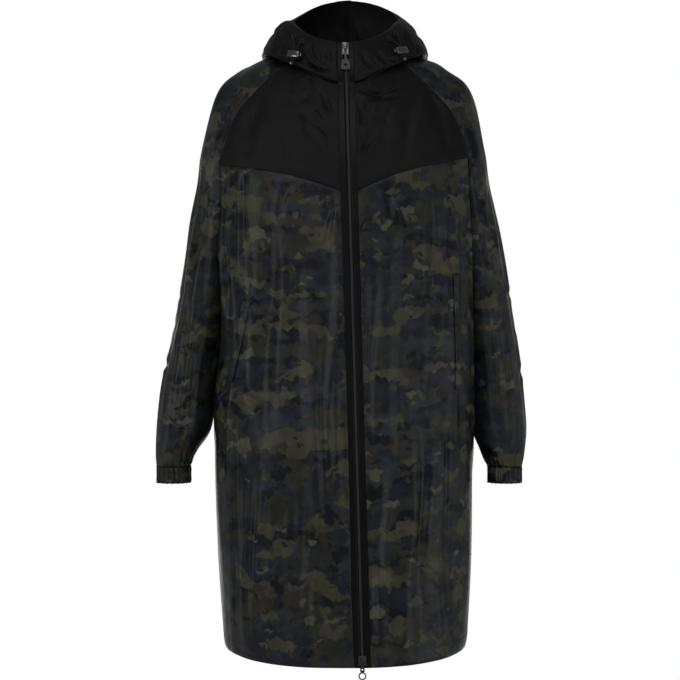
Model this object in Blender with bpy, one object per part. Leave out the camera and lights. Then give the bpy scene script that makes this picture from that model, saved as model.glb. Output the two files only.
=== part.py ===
"""A long hooded rain jacket, hollow as if worn: black hood and chest yokes, patterned body and
raglan sleeves, elastic cuffs, a two-way front zip, side pockets and two hood cords.

Metres, +Z up, the front faces -Y. The origin is the neck point between the two high shoulder
points. Every panel is a wall of cloth laid on one of four surfaces:
  cape    rings from the neck seam to the armpits, over body and sleeves together
  body    rings from the armpits to the hem, hollowed at each side where the sleeve hangs
  sleeve  closed sections from the armpits to the cuffs
  hood    profiles from the rim, over the bulge, to the neck seam
A level is a float row number in RINGS and SLEEVES, and side is -1 (left, -X) or 1 (right, +X).
"""

import math
from collections import namedtuple

import bmesh
import bpy
import numpy as np
from mathutils import Matrix, Vector

PARTS, CUTTERS = "rain_jacket", "cutters"  # collections
CLOTH = 0.0016  # wall of the cloth
SEAM = 0.0003  # space between two panels at a seam

# Rings round the body. The first eight run over body and sleeves; ARMPIT is the first of the
# body's own. Half widths and depths are from the origin; square is the superellipse's power.
Ring = namedtuple("Ring", "half_left half_right front_y front_z side_z back_y back_z square")
RINGS = [
    Ring(0.0850, 0.0850, 0.1060, -0.0525, 0.0060, 0.0720, 0.0030, 2.0),
    Ring(0.1150, 0.1150, 0.1110, -0.0680, 0.0020, 0.0930, -0.0160, 2.0),
    Ring(0.1430, 0.1415, 0.1150, -0.0880, -0.0060, 0.1070, -0.0400, 2.1),
    Ring(0.1660, 0.1640, 0.1180, -0.1060, -0.0170, 0.1150, -0.0650, 2.2),
    Ring(0.1860, 0.1870, 0.1205, -0.1230, -0.0340, 0.1210, -0.0900, 2.3),
    Ring(0.2000, 0.2010, 0.1225, -0.1390, -0.0580, 0.1250, -0.1150, 2.4),
    Ring(0.2115, 0.2120, 0.1240, -0.1550, -0.1050, 0.1275, -0.1400, 2.5),
    Ring(0.2230, 0.2240, 0.1250, -0.1710, -0.1710, 0.1300, -0.1710, 2.6),
    Ring(0.2060, 0.2060, 0.1265, -0.2250, -0.2250, 0.1310, -0.2250, 3.2),
    Ring(0.2010, 0.2020, 0.1290, -0.3000, -0.3000, 0.1320, -0.3000, 3.4),
    Ring(0.1945, 0.2025, 0.1320, -0.3750, -0.3750, 0.1350, -0.3750, 3.3),
    Ring(0.1925, 0.2040, 0.1360, -0.4500, -0.4500, 0.1390, -0.4500, 3.2),
    Ring(0.2025, 0.2035, 0.1410, -0.5300, -0.5300, 0.1430, -0.5300, 3.1),
    Ring(0.2015, 0.2020, 0.1440, -0.5800, -0.5800, 0.1450, -0.5800, 3.0),
    Ring(0.2010, 0.1995, 0.1470, -0.6330, -0.6330, 0.1480, -0.6330, 3.0),
    Ring(0.1985, 0.1970, 0.1500, -0.7200, -0.7200, 0.1510, -0.7200, 2.9),
    Ring(0.1935, 0.1940, 0.1530, -0.8130, -0.8100, 0.1540, -0.8130, 2.8),
    Ring(0.1870, 0.1890, 0.1550, -0.9240, -0.9060, 0.1560, -0.9240, 2.7),
]
ARMPIT, HEM = 7, len(RINGS) - 1
ARMPIT_STEP = 0.05  # height of a level by which the side hollow's surface is carried on upwards

# The raglan seams on the cape, as angles from centre front, a row for each of its rings.
Raglan = namedtuple("Raglan", "front_deg back_deg")
RAGLANS = [
    Raglan(56, 122),
    Raglan(58, 120),
    Raglan(59, 120),
    Raglan(60, 121),
    Raglan(62, 121),
    Raglan(64, 120),
    Raglan(66, 117),
    Raglan(67, 113),
]

# Sections of a sleeve from the armpit down: centres, half width, half depth.
Sleeve = namedtuple("Sleeve", "left_x right_x centre_y half_width half_depth")
SLEEVES = [
    Sleeve(0.1930, 0.1930, 0.0000, 0.0430, 0.0815),  # the armpit's own is worked out from the cape
    Sleeve(0.1935, 0.1950, -0.0010, 0.0410, 0.0720),
    Sleeve(0.2060, 0.2070, -0.0020, 0.0410, 0.0670),
    Sleeve(0.2195, 0.2195, -0.0040, 0.0405, 0.0645),
    Sleeve(0.2325, 0.2295, -0.0060, 0.0405, 0.0625),
    Sleeve(0.2450, 0.2370, -0.0090, 0.0415, 0.0600),
    Sleeve(0.2495, 0.2405, -0.0110, 0.0415, 0.0560),
    Sleeve(0.2655, 0.2490, -0.0140, 0.0275, 0.0330),
]
CUFF_LEVEL = ARMPIT + len(SLEEVES) - 1
SLEEVE_GAP, GAP_OPENS = 0.0035, 0.45  # between sleeve and body, and the levels it opens in
SLEEVE_SETTLES = 1.6  # levels over which the cape's curve turns into the sleeve's section
LEAST_HOLLOW = 0.058  # half depth of the body's side hollow below the cuffs

YOKE_CENTRE = ARMPIT + 0.81  # level of the yoke's lower edge at the zip
YOKE_ENDS = {-1: ARMPIT, 1: ARMPIT - 0.24}  # its level at each raglan seam

CUFF_DEEP, CUFF_HALF_WIDTH, CUFF_HALF_DEPTH = 0.0260, 0.0265, 0.0310
GATHERS, GATHER_DEEP = 20, 0.0016
CUFF_PINCH = 0.0008  # how far the elastic draws the cuff's middle in

# The hood lying down, from its rim to the neck seam, at centre front, at the side and at
# centre back, as radius and height. spread is how sharply a row rises or falls towards the back.
Hood = namedtuple("Hood", "front_r front_z side_r side_z back_r back_z spread")
HOODS = [
    Hood(0.1000, 0.0125, 0.0800, 0.0600, 0.1000, 0.1115, 1.8),
    Hood(0.1018, 0.0050, 0.0900, 0.0612, 0.1180, 0.1090, 2.1),
    Hood(0.1035, -0.0040, 0.1020, 0.0540, 0.1540, 0.0800, 2.4),
    Hood(0.1050, -0.0130, 0.1125, 0.0400, 0.1840, 0.0250, 2.5),
    Hood(0.1062, -0.0220, 0.1235, 0.0220, 0.1980, -0.0450, 2.6),
    Hood(0.1070, -0.0310, 0.1310, 0.0100, 0.1940, -0.1150, 3.0),
    Hood(0.1070, -0.0385, 0.1240, 0.0050, 0.1690, -0.1380, 3.2),
    Hood(0.1068, -0.0445, 0.1080, 0.0085, 0.1430, -0.0780, 3.4),
    Hood(0.1066, -0.0485, 0.0945, 0.0110, 0.1160, -0.0170, 2.6),
]
HOOD_ROUND = 0.55  # how much sooner a row widens than it drops, from the side to the back
HOOD_LEAN = 0.0070  # how far the rim's back leans to +X

# The zip, whose line drifts to the wearer's left on its way down.
ZIP_TOP_X, ZIP_HEM_X, TAPE_WIDE = 0.0010, 0.0265, 0.0125

# A fold or crease on a surface: its middle line from one place to another, as share across
# and level, its half width in metres and its height (a trough is negative).
Fold = namedtuple("Fold", "side across0 level0 across1 level1 half_width height")
FRONT_FOLDS = [
    Fold(1, 0.74, 7.6, 0.80, 12.5, 0.022, 0.0060),
    Fold(1, 0.42, 8.6, 0.50, 13.5, 0.030, -0.0040),
    Fold(1, 0.62, 12.6, 0.72, 17.0, 0.034, 0.0050),
    Fold(1, 0.30, 14.0, 0.34, 17.0, 0.030, 0.0040),
    Fold(-1, 0.66, 8.0, 0.58, 12.2, 0.026, -0.0050),
    Fold(-1, 0.84, 8.6, 0.78, 12.8, 0.020, 0.0050),
    Fold(-1, 0.30, 10.5, 0.36, 15.5, 0.034, 0.0040),
    Fold(-1, 0.62, 13.4, 0.70, 17.0, 0.034, 0.0050),
]
BACK_FOLDS = [
    Fold(1, 2.20, 8.2, 2.26, 13.8, 0.026, 0.0060),
    Fold(-1, 2.24, 8.0, 2.18, 12.6, 0.024, 0.0055),
    Fold(1, 2.62, 10.4, 2.56, 17.0, 0.034, 0.0050),
    Fold(-1, 2.58, 11.2, 2.66, 17.0, 0.036, 0.0060),
    Fold(1, 2.90, 13.0, 2.96, 17.0, 0.034, -0.0045),
]

SLEEVE_FOLDS = [
    Fold(1, 0.30, 5.4, 0.44, 8.6, 0.024, 0.0040),
    Fold(1, 0.22, 9.2, 0.46, 10.6, 0.026, -0.0040),
    Fold(1, 0.60, 10.2, 0.34, 12.4, 0.026, 0.0035),
    Fold(-1, 0.26, 5.6, 0.40, 8.8, 0.024, 0.0040),
    Fold(-1, 0.24, 9.4, 0.50, 10.8, 0.026, -0.0040),
    Fold(-1, 0.64, 10.4, 0.32, 12.2, 0.026, 0.0035),
]
FOLD_ENDS = 0.7  # power of the sine that brings a fold up from its ends

# How many points each grid takes. The cape's panels share SEAM_LEVELS down the raglan seams, and
# the sleeve's inside and the body's hollow turn through the same angles.
SEAM_LEVELS = np.append(np.linspace(0, YOKE_ENDS[1], 10), ARMPIT)
HOLLOW_COLUMNS = 6
YOKE_COLUMNS, FRONT_COLUMNS, FRONT_ROWS, BACK_COLUMNS, BACK_ROWS = 10, 11, 20, 15, 18
SLEEVE_COLUMNS, SLEEVE_ROWS, CUFF_ROWS, GATHER_COLUMNS = 13, 16, 3, 3
HOOD_COLUMNS, HOOD_ROWS, WELT_COLUMNS, WELT_ROWS = 15, 15, 4, 9
TAPE_HOOD_ROWS, TAPE_CAPE_ROWS, TAPE_BODY_ROWS = 6, 8, 21

# Pocket welts on the fronts: share across and level of the two ends.
Pocket = namedtuple("Pocket", "side across0 level0 across1 level1")
POCKETS = [Pocket(-1, 0.75, 10.02, 0.86, 11.62), Pocket(1, 0.79, 9.5, 0.79, 11.75)]
WELT_WIDE, WELT_THICK = 0.0110, 0.0012
WELT_CLEAR = 0.0008  # from the panel's points to the welt's, so that their facets stay apart
BODY_METRES = 0.205  # about the width of one share across

# Hood cords: angle from centre front and row of HOODS of the two eyelets, and of the lock.
CordSet = namedtuple("CordSet", "side outer_deg inner_deg eyelet_row lock_deg lock_row")
CORD_SETS = [CordSet(-1, 48, 38, 2.2, 41, 4.3), CordSet(1, 50, 41, 2.0, 47, 4.1)]
CORD_RADIUS, STRAND_APART = 0.0012, 0.0034
CORD_START, CORD_BEND = (0, -0.0013, 0.0006), (0, -0.0032, -0.0013)  # from its eyelet's middle
CORD_FAN, CORD_ABOVE = 1.3, 0.0040  # how much the strands spread, this far above the lock
CORD_POINTS, CORD_END = 11, 0.0003  # and the space between a strand's end and its ball
EYELET_RADIUS, EYELET_WIRE, EYELET_CLEAR = 0.0036, 0.0008, 0.0005
LOCK_WIDE, LOCK_DEEP, LOCK_TALL = 0.0210, 0.0085, 0.0120
LOCK_BEVEL, SLOT_BEVEL, BUTTON_BEVEL = 0.0030, 0.0008, 0.0014
SLOT_WIDE, SLOT_DEEP = 0.0080, 0.0040
BUTTON_LONG, BUTTON_SIZE = 0.0035, 0.0062
BALL_RADIUS, BALL_DROP = 0.0028, 0.0085
Place = namedtuple("Place", "x y z")

# The two sliders and their pulls, at the middle of the slider's plate.
Pull = namedtuple("Pull", "name middle_z body_wide body_tall stem tab_wide tab_tall")
PULLS = [
    Pull("top", 0.0020, 0.0110, 0.0200, 0.0130, 0.0140, 0.0160),
    Pull("bottom", -0.9130, 0.0115, 0.0150, 0.0030, 0.0075, 0.0085),
]

SLIDER_THICK, ARCH_WIDE, ARCH_HOLE, ARCH_WALL = 0.0024, 0.0024, 0.0013, 0.0010
HINGE_OUT = 0.0020  # from the slider's plate to the pull's axis
PULL_THICK, PULL_HALF_WIDTH, PULL_WINDOW, PULL_CLEAR = 0.0014, 0.0027, 0.0040, 0.0004
PLATE_BEVEL, ARCH_BEVEL = 0.0007, 0.0005
STEM_HALF_WIDTH = 0.0016
TAB_SHOULDER, TAB_HOLE, TAB_HOLE_DOWN = 0.8, 0.16, 0.55  # shares of the tab's width and height
HOLE_SIDES = 12

Finish = namedtuple("Finish", "red green blue roughness metallic")
FINISHES = {
    "black_cloth": Finish(0.012, 0.012, 0.013, 0.55, 0.0),
    "printed_cloth": Finish(0.020, 0.022, 0.022, 0.50, 0.0),
    "zip_tape": Finish(0.008, 0.008, 0.009, 0.35, 0.0),
    "zip_metal": Finish(0.030, 0.030, 0.032, 0.30, 0.9),
    "cord": Finish(0.015, 0.015, 0.015, 0.70, 0.0),
    "lock_plastic": Finish(0.014, 0.014, 0.014, 0.35, 0.0),
}


def row_at(rows, at):
    """The rows' columns at a float row number, on a curve through them."""
    kind, last = type(rows[0]), len(rows) - 1
    at = min(max(at, 0.0), float(last))
    low = min(int(at), last - 1)
    t = at - low
    near = [np.array(rows[min(max(low + k, 0), last)]) for k in (-1, 0, 1, 2)]
    bend = (near[0] * (-t + 2 * t**2 - t**3) + near[1] * (2 - 5 * t**2 + 3 * t**3)
            + near[2] * (t + 4 * t**2 - 3 * t**3) + near[3] * (t**3 - t**2)) / 2
    return kind(*bend)


def smooth(t):
    t = min(max(t, 0.0), 1.0)
    return t * t * (3 - 2 * t)


def mix(a, b, t):
    return a + (b - a) * t


def half_width(ring, side):
    return ring.half_left if side < 0 else ring.half_right


def ring_point(side, angle, level):
    """A point of a ring at an angle in radians from centre front."""
    ring = row_at(RINGS, level)
    ahead = math.cos(angle) > 0
    deep = ring.front_y if ahead else ring.back_y
    end_z = ring.front_z if ahead else ring.back_z
    wide, n = half_width(ring, side), ring.square
    across, along = abs(math.sin(angle)), abs(math.cos(angle))
    r = ((across / wide) ** n + (along / deep) ** n) ** (-1 / n)
    y = -r * math.cos(angle)
    return Vector((side * r * math.sin(angle), y, mix(ring.side_z, end_z, (y / deep) ** 2)))


def raglan_angles(level):
    row = row_at(RAGLANS, level)
    return math.radians(row.front_deg), math.radians(row.back_deg)


def armpit_ends(side):
    """Where the raglan seams end: the front and back edge of the sleeve's top section."""
    return [ring_point(side, angle, ARMPIT) for angle in raglan_angles(ARMPIT)]


def sleeve_section(side, level):
    """Centre x, centre y, half width and half depth of the sleeve, the x outwards."""
    rows = list(SLEEVES)
    front, back = armpit_ends(side)
    rows[0] = Sleeve(abs(front.x), abs(front.x), (front.y + back.y) / 2,
                     SLEEVES[0].half_width, (back.y - front.y) / 2)
    row = row_at(rows, level - ARMPIT)
    return (row.left_x if side < 0 else row.right_x), row.centre_y, row.half_width, row.half_depth


def zip_x(z):
    top, hem = HOODS[0].front_z, RINGS[HEM].front_z
    return mix(ZIP_TOP_X, ZIP_HEM_X, (top - z) / (top - hem))


def zip_angle(side, level):
    """The signed angle at which a panel meets the tape, taken outwards on its own side."""
    ring = row_at(RINGS, level)
    edge = side * zip_x(ring.front_z) + TAPE_WIDE
    return math.atan2(edge, ring.front_y)


def body_plan(side, across, level):
    """x outwards, y and z of the body below the armpit. across runs 0 at the zip, 1 at the
    fold before the sleeve, 2 at the fold behind it and 3 at centre back."""
    ring = row_at(RINGS, level)
    wide, n = half_width(ring, side), ring.square
    sleeve_x, sleeve_y, sleeve_wide, sleeve_deep = sleeve_section(side, level)
    gap = mix(SEAM, SLEEVE_GAP, min((level - ARMPIT) / GAP_OPENS, 1.0))
    deep = max(sleeve_deep, LEAST_HOLLOW) + gap

    def ring_x(y):
        d = ring.front_y if y < 0 else ring.back_y
        return wide * (1 - min(abs(y) / d, 1.0) ** n) ** (1 / n)

    if 1 < across < 2:
        turn = math.pi * (across - 1.5)
        y = sleeve_y + deep * math.sin(turn)
        clear = math.sqrt(1 - (sleeve_deep / deep) ** 2)  # cosine up to which no sleeve is met
        hollow_x = sleeve_x - (sleeve_wide + gap) * math.cos(turn)
        x = mix(ring_x(y), min(ring_x(y), hollow_x), min(1.0, math.cos(turn) / clear))
        end_y, end_z = (ring.front_y, ring.front_z) if y < 0 else (ring.back_y, ring.back_z)
        return x, y, mix(ring.side_z, end_z, (y / end_y) ** 2)
    fold_y = sleeve_y - deep if across <= 1 else sleeve_y + deep
    fold_angle = math.atan2(ring_x(fold_y), -fold_y)
    if across <= 1:
        angle = mix(zip_angle(side, level), fold_angle, across)
    else:
        angle = mix(fold_angle, math.pi, across - 2)
    point = ring_point(side, angle, level)
    return side * point.x, point.y, point.z


def cape_point(side, across, level):
    """A point of the cape's front (across 0 to 1) or back (2 to 3), or of the body below it."""
    if level >= ARMPIT:
        across = min(across, 1) if across < 1.5 else max(across, 2)
        return body_point(side, across, level)
    front, back = raglan_angles(level)
    if across < 1.5:
        angle = mix(zip_angle(side, level), front, across)
    else:
        angle = mix(back, math.pi, across - 2)
    return ring_point(side, angle, level)


def body_point(side, across, level):
    """A point of the body, whose side hollow is carried on upwards a little."""
    if level < ARMPIT and not 1 < across < 2:
        return cape_point(side, across, level)
    x, y, z = body_plan(side, across, max(level, ARMPIT))
    return Vector((side * x, y, z + max(ARMPIT - level, 0) * ARMPIT_STEP))


def sleeve_point(side, around, level):
    """A point of the sleeve. around runs 0 at its front edge, over the outside to 1 at its back
    edge and, below the armpit, along the inside to 2."""
    if level < ARMPIT:
        return ring_point(side, mix(*raglan_angles(level), around), level)
    x, y, wide, deep = sleeve_section(side, level)
    z = row_at(RINGS, level).side_z
    turn = math.pi * (around - 0.5)
    if around > 1:
        return Vector((side * (x + wide * math.cos(turn)), y + deep * math.sin(turn), z))
    tube = Vector((side * (x + wide * math.cos(turn)), y + deep * math.sin(turn), z))
    arc = ring_point(side, mix(*raglan_angles(ARMPIT), around), ARMPIT)
    top_x, top_y, _, top_deep = sleeve_section(side, ARMPIT)
    arc = Vector((arc.x + side * (x - top_x), y + (arc.y - top_y) * deep / top_deep, z))
    return arc.lerp(tube, smooth((level - ARMPIT) / SLEEVE_SETTLES))


def hood_point(side, angle, t):
    """A point of the hood at an angle from centre front, t from 0 at the rim to 1 at the neck."""
    seam = ring_point(side, angle, 0)
    rows = HOODS
    at = t * len(rows)
    row = row_at(rows, at)
    along = abs(math.cos(angle))
    if math.cos(angle) > 0:
        r = mix(row.side_r, row.front_r, along**2)
        z = mix(row.side_z, row.front_z, along**2)
    else:
        r = mix(row.side_r, row.back_r, along ** (row.spread * HOOD_ROUND))
        z = mix(row.side_z, row.back_z, along**row.spread)
    lean = HOOD_LEAN * (1 - t) * smooth(-1.4 * math.cos(angle))
    point = Vector((side * r * math.sin(angle) + lean, -r * math.cos(angle), z))
    seam.z += SEAM
    return point.lerp(seam, min(max(at - (len(rows) - 1), 0.0), 1.0))


def folded(point, folds, side, across, level, axis_x=0.0):
    """A point of a panel, moved out from an upright axis by the folds that cross it."""
    total = 0.0
    for fold in folds:
        along = (level - fold.level0) / (fold.level1 - fold.level0)
        off = (across - mix(fold.across0, fold.across1, along)) * BODY_METRES / fold.half_width
        if fold.side == side and 0 < along < 1 and abs(off) < 1:
            end = math.sin(along * math.pi) ** FOLD_ENDS
            total += fold.height * math.cos(off * math.pi / 2) ** 2 * end
    out = Vector((point.x - axis_x, point.y, 0))
    return point + out.normalized() * total if total else point


def finish_material(name):
    material = bpy.data.materials.get(name)
    if material:
        return material
    material = bpy.data.materials.new(name)
    material.use_nodes = True
    shader = material.node_tree.nodes["Principled BSDF"]
    finish = FINISHES[name]
    shader.inputs["Base Color"].default_value = (finish.red, finish.green, finish.blue, 1)
    shader.inputs["Roughness"].default_value = finish.roughness
    shader.inputs["Metallic"].default_value = finish.metallic
    return material


def add_object(name, mesh, finish):
    mesh.materials.clear()
    mesh.materials.append(finish_material(finish))
    mesh.shade_smooth()
    mesh.set_sharp_from_angle(angle=math.radians(40))
    obj = bpy.data.objects.new(name, mesh)
    bpy.data.collections[PARTS].objects.link(obj)
    return obj


def grid_places(us, vs, surface, facing):
    """Points and outward directions of a grid on a surface, whose directions come from the
    surface itself, so that panels that share a seam lean the same way there. facing is 1 where
    the first share runs clockwise seen from above, else -1."""
    points = np.zeros((len(vs), len(us), 3))
    outwards = np.zeros_like(points)
    half_u, half_v = (us[1] - us[0]) / 2, (vs[1] - vs[0]) / 2
    for j, v in enumerate(vs):
        for i, u in enumerate(us):
            points[j, i] = surface(u, v)
            along_u = surface(u + half_u, v) - surface(u - half_u, v)
            along_v = surface(u, v + half_v) - surface(u, v - half_v)
            outwards[j, i] = along_v.cross(along_u).normalized() * facing
    return points, outwards


def draw_in(points, *edges):
    """Draws the named edges of a grid in by half a seam."""
    lines = {
        "first": (points[:, 0], points[:, 1]),
        "last": (points[:, -1], points[:, -2]),
        "top": (points[0], points[1]),
        "bottom": (points[-1], points[-2]),
    }
    for edge in edges:
        line, inner = lines[edge]
        along = inner - line
        line += along / np.linalg.norm(along, axis=1, keepdims=True) * SEAM / 2


def lay_grid(mesh, inward, points, outwards):
    """Adds a grid to an open sheet, each point with its inward direction."""
    rows, columns = points.shape[0] - 1, points.shape[1] - 1
    made = bmesh.ops.create_grid(mesh, x_segments=columns, y_segments=rows, size=0.5)["verts"]
    for vert in made:
        i, j = round((vert.co.x + 0.5) * columns), round((vert.co.y + 0.5) * rows)
        vert[inward] = Vector(-outwards[j, i])
        vert.co = points[j, i]


def thicken(mesh, inward, thick):
    """Turns an open sheet into a closed wall, along each point's inward direction."""
    bmesh.ops.remove_doubles(mesh, verts=mesh.verts, dist=1e-6)
    made = bmesh.ops.extrude_face_region(mesh, geom=mesh.faces[:], use_keep_orig=True)["geom"]
    for item in made:
        if isinstance(item, bmesh.types.BMVert):
            item.co += item[inward] * thick
    bmesh.ops.recalc_face_normals(mesh, faces=mesh.faces)


def add_wall(name, finish, grids, thick=CLOTH, lift=0.0):
    """One closed wall from grids that join where their points meet."""
    mesh = bmesh.new()
    inward = mesh.verts.layers.float_vector.new("inward")
    for points, outwards in grids:
        lay_grid(mesh, inward, points + outwards * lift, outwards)
    thicken(mesh, inward, thick)
    data = bpy.data.meshes.new(name)
    mesh.to_mesh(data)
    mesh.free()
    return add_object(name, data, finish)


def side_name(side):
    return "left" if side < 0 else "right"


def yoke_edge(side, across):
    """Level of the yoke's lower edge, which falls from the raglan seam to the zip."""
    return mix(YOKE_CENTRE, YOKE_ENDS[side], across)


def add_yoke(side):
    def surface(across, v):
        return cape_point(side, across, v * yoke_edge(side, across))

    rows = SEAM_LEVELS[SEAM_LEVELS <= YOKE_ENDS[side]] / YOKE_ENDS[side]
    grid = grid_places(np.linspace(0, 1, YOKE_COLUMNS), rows, surface, side)
    draw_in(grid[0], "first", "last", "top", "bottom")
    return add_wall("yoke_" + side_name(side), "black_cloth", [grid])


def front_point(side, across, level):
    return folded(body_point(side, across, level), FRONT_FOLDS, side, across, level)


def add_front(side):
    def surface(across, v):
        top = yoke_edge(side, across) if across <= 1 else ARMPIT
        return front_point(side, across, mix(top, HEM, v))

    across = np.concatenate([np.linspace(0, 1, FRONT_COLUMNS),
                             np.linspace(1, 1.5, HOLLOW_COLUMNS)[1:]])
    grid = grid_places(across, np.linspace(0, 1, FRONT_ROWS), surface, side)
    draw_in(grid[0], "first", "last", "top")
    return add_wall("front_" + side_name(side), "printed_cloth", [grid])


def add_back():
    """The back, from the left side seam (-1.5) over centre back (0) to the right one (1.5)."""
    def surface(place, level):
        side = -1 if place < 0 else 1
        across = 3 - abs(place)
        point = cape_point if level < ARMPIT and across > 1.9 else body_point
        return folded(point(side, across, level), BACK_FOLDS, side, across, level)

    middle = np.linspace(-1, 1, BACK_COLUMNS)
    flank = np.linspace(1, 1.5, HOLLOW_COLUMNS)[1:]
    upper = grid_places(middle, SEAM_LEVELS, surface, -1)
    lower = grid_places(np.concatenate([-flank[::-1], middle, flank]),
                        np.linspace(ARMPIT, HEM, BACK_ROWS), surface, -1)
    draw_in(upper[0], "first", "last", "top")
    draw_in(lower[0], "first", "last", "top")
    for above, below in zip(upper, lower):
        below[0, len(flank):-len(flank)] = above[-1]
    return add_wall("back", "printed_cloth", [upper, lower])


def add_sleeve(side):
    def surface(around, level):
        axis_x = side * sleeve_section(side, max(level, ARMPIT))[0]
        return folded(sleeve_point(side, around, level), SLEEVE_FOLDS, side, around, level, axis_x)

    outside = np.linspace(0, 1, SLEEVE_COLUMNS)
    inside = np.linspace(1, 2, 2 * HOLLOW_COLUMNS - 1)[1:]
    cap = grid_places(outside, SEAM_LEVELS, surface, side)
    tube = grid_places(np.concatenate([outside, inside]),
                       np.linspace(ARMPIT, CUFF_LEVEL, SLEEVE_ROWS), surface, side)
    draw_in(cap[0], "first", "last", "top")
    draw_in(tube[0], "bottom")
    for above, below in zip(cap, tube):
        below[0, :len(outside)] = above[-1]
        below[:, -1] = below[:, 0]
    return add_wall("sleeve_" + side_name(side), "printed_cloth", [cap, tube])


def add_cuff(side):
    """The elastic casing at a sleeve's end, drawn up in gathers."""
    x, y, _, _ = sleeve_section(side, CUFF_LEVEL)
    top = RINGS[CUFF_LEVEL].side_z

    def surface(turn, down):
        pinch = math.sin(math.pi * min(max(down, 0.0), 1.0)) * CUFF_PINCH
        out = GATHER_DEEP * math.cos(GATHERS * turn) - pinch
        wide, deep = CUFF_HALF_WIDTH + out, CUFF_HALF_DEPTH + out
        return Vector((side * x + wide * math.cos(turn), y + deep * math.sin(turn),
                       top - down * CUFF_DEEP))

    around = np.linspace(0, 2 * math.pi, GATHERS * GATHER_COLUMNS + 1)
    grid = grid_places(around, np.linspace(0, 1, CUFF_ROWS), surface, 1)
    draw_in(grid[0], "top")
    for part in grid:
        part[:, -1] = part[:, 0]
    return add_wall("cuff_" + side_name(side), "printed_cloth", [grid])


def hood_zip_angle(side, t):
    row = row_at(HOODS, t * len(HOODS))
    return math.asin((side * zip_x(row.front_z) + TAPE_WIDE) / row.front_r)


def add_hood(side):
    def surface(u, t):
        return hood_point(side, mix(hood_zip_angle(side, t), math.pi, u), t)

    grid = grid_places(np.linspace(0, 1, HOOD_COLUMNS), np.linspace(0, 1, HOOD_ROWS), surface, side)
    draw_in(grid[0], "first", "last")
    return add_wall("hood_" + side_name(side), "black_cloth", [grid])


def tape_point(x_from_zip, station):
    """A point of the zip's strip. station runs -1 at the hood's rim, 0 at the neck, then levels."""
    if station < 0:
        t = 1 + station
        row = row_at(HOODS, t * len(HOODS))
        return hood_point(1, math.asin((zip_x(row.front_z) + x_from_zip) / row.front_r), t)
    ring = row_at(RINGS, station)
    return ring_point(1, math.atan2(zip_x(ring.front_z) + x_from_zip, ring.front_y), station)


def add_tape(side):
    def surface(u, station):
        return tape_point(side * mix(SEAM / 2, TAPE_WIDE - SEAM / 2, u), station)

    stations = np.concatenate([np.linspace(-1, 0, TAPE_HOOD_ROWS),
                               np.linspace(0, ARMPIT, TAPE_CAPE_ROWS)[1:],
                               np.linspace(ARMPIT, HEM, TAPE_BODY_ROWS)[1:]])
    grid = grid_places(np.linspace(0, 1, 2), stations, surface, side)
    return add_wall("zip_tape_" + side_name(side), "zip_tape", [grid])


def add_welt(pocket):
    """A pocket's welt, made from the panel's points and moved out."""
    share = WELT_WIDE / BODY_METRES

    def surface(u, v):
        across = mix(pocket.across0, pocket.across1, v) + (u - 0.5) * share
        return front_point(pocket.side, across, mix(pocket.level0, pocket.level1, v))

    grid = grid_places(np.linspace(0, 1, WELT_COLUMNS), np.linspace(0, 1, WELT_ROWS), surface,
                       pocket.side)
    return add_wall("pocket_" + side_name(pocket.side), "printed_cloth", [grid], WELT_THICK,
                    WELT_CLEAR + WELT_THICK)


def zip_frame(z):
    """A matrix at the zip's surface at a height: x across, y into the cloth, z up along it."""
    low, high = -1.0, float(HEM)
    for _ in range(40):
        middle = (low + high) / 2
        low, high = (middle, high) if tape_point(0, middle).z > z else (low, middle)
    up = (tape_point(0, low - 0.1) - tape_point(0, low + 0.1)).normalized()
    up.x = 0
    tilt = math.atan2(up.y, up.z)
    return Matrix.Translation(tape_point(0, low)) @ Matrix.Rotation(-tilt, 4, "X")


def bevelled_box(name, size, centre, bevel, segments=2):
    mesh = bmesh.new()
    bmesh.ops.create_cube(mesh, size=1)
    bmesh.ops.scale(mesh, vec=size, verts=mesh.verts)
    bmesh.ops.translate(mesh, vec=centre, verts=mesh.verts)
    bmesh.ops.bevel(mesh, geom=mesh.edges[:], offset=bevel, segments=segments, profile=0.5,
                    affect="EDGES", material=-1)
    data = bpy.data.meshes.new(name)
    mesh.to_mesh(data)
    mesh.free()
    return data


def add_cutter(name, mesh, place):
    cutter = bpy.data.objects.new(name, mesh)
    bpy.data.collections[CUTTERS].objects.link(cutter)
    cutter.matrix_world = place
    cutter.hide_render = True
    cutter.display_type = "WIRE"
    return cutter


def combine(obj, other, operation):
    modifier = obj.modifiers.new(other.name, "BOOLEAN")
    modifier.operation = operation
    modifier.object = other
    modifier.solver = "EXACT"


def add_slider(pull):
    """The slider's plate, with an arch over the hole that the pull's bar turns in."""
    frame = zip_frame(pull.middle_z)
    plate = bevelled_box("slider_" + pull.name, (pull.body_wide, SLIDER_THICK, pull.body_tall),
                         (0, -SEAM - SLIDER_THICK / 2, 0), PLATE_BEVEL)
    slider = add_object("slider_" + pull.name, plate, "zip_metal")
    slider.matrix_world = frame
    arch_high = SLIDER_THICK / 2 + HINGE_OUT + ARCH_HOLE + ARCH_WALL
    arch = bevelled_box("arch", (ARCH_WIDE, arch_high, 2 * (ARCH_HOLE + ARCH_WALL)),
                        (0, -SEAM - SLIDER_THICK / 2 - arch_high / 2, 0), ARCH_BEVEL)
    combine(slider, add_cutter("arch_" + pull.name, arch, frame), "UNION")
    hole = bmesh.new()
    bmesh.ops.create_cone(hole, cap_ends=True, segments=20, radius1=ARCH_HOLE, radius2=ARCH_HOLE,
                          depth=3 * ARCH_WIDE, matrix=Matrix.Rotation(math.pi / 2, 4, "Y"))
    data = bpy.data.meshes.new("hole")
    hole.to_mesh(data)
    hole.free()
    combine(slider, add_cutter("hole_" + pull.name, data, hinge_frame(pull)), "DIFFERENCE")
    return slider


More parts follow.
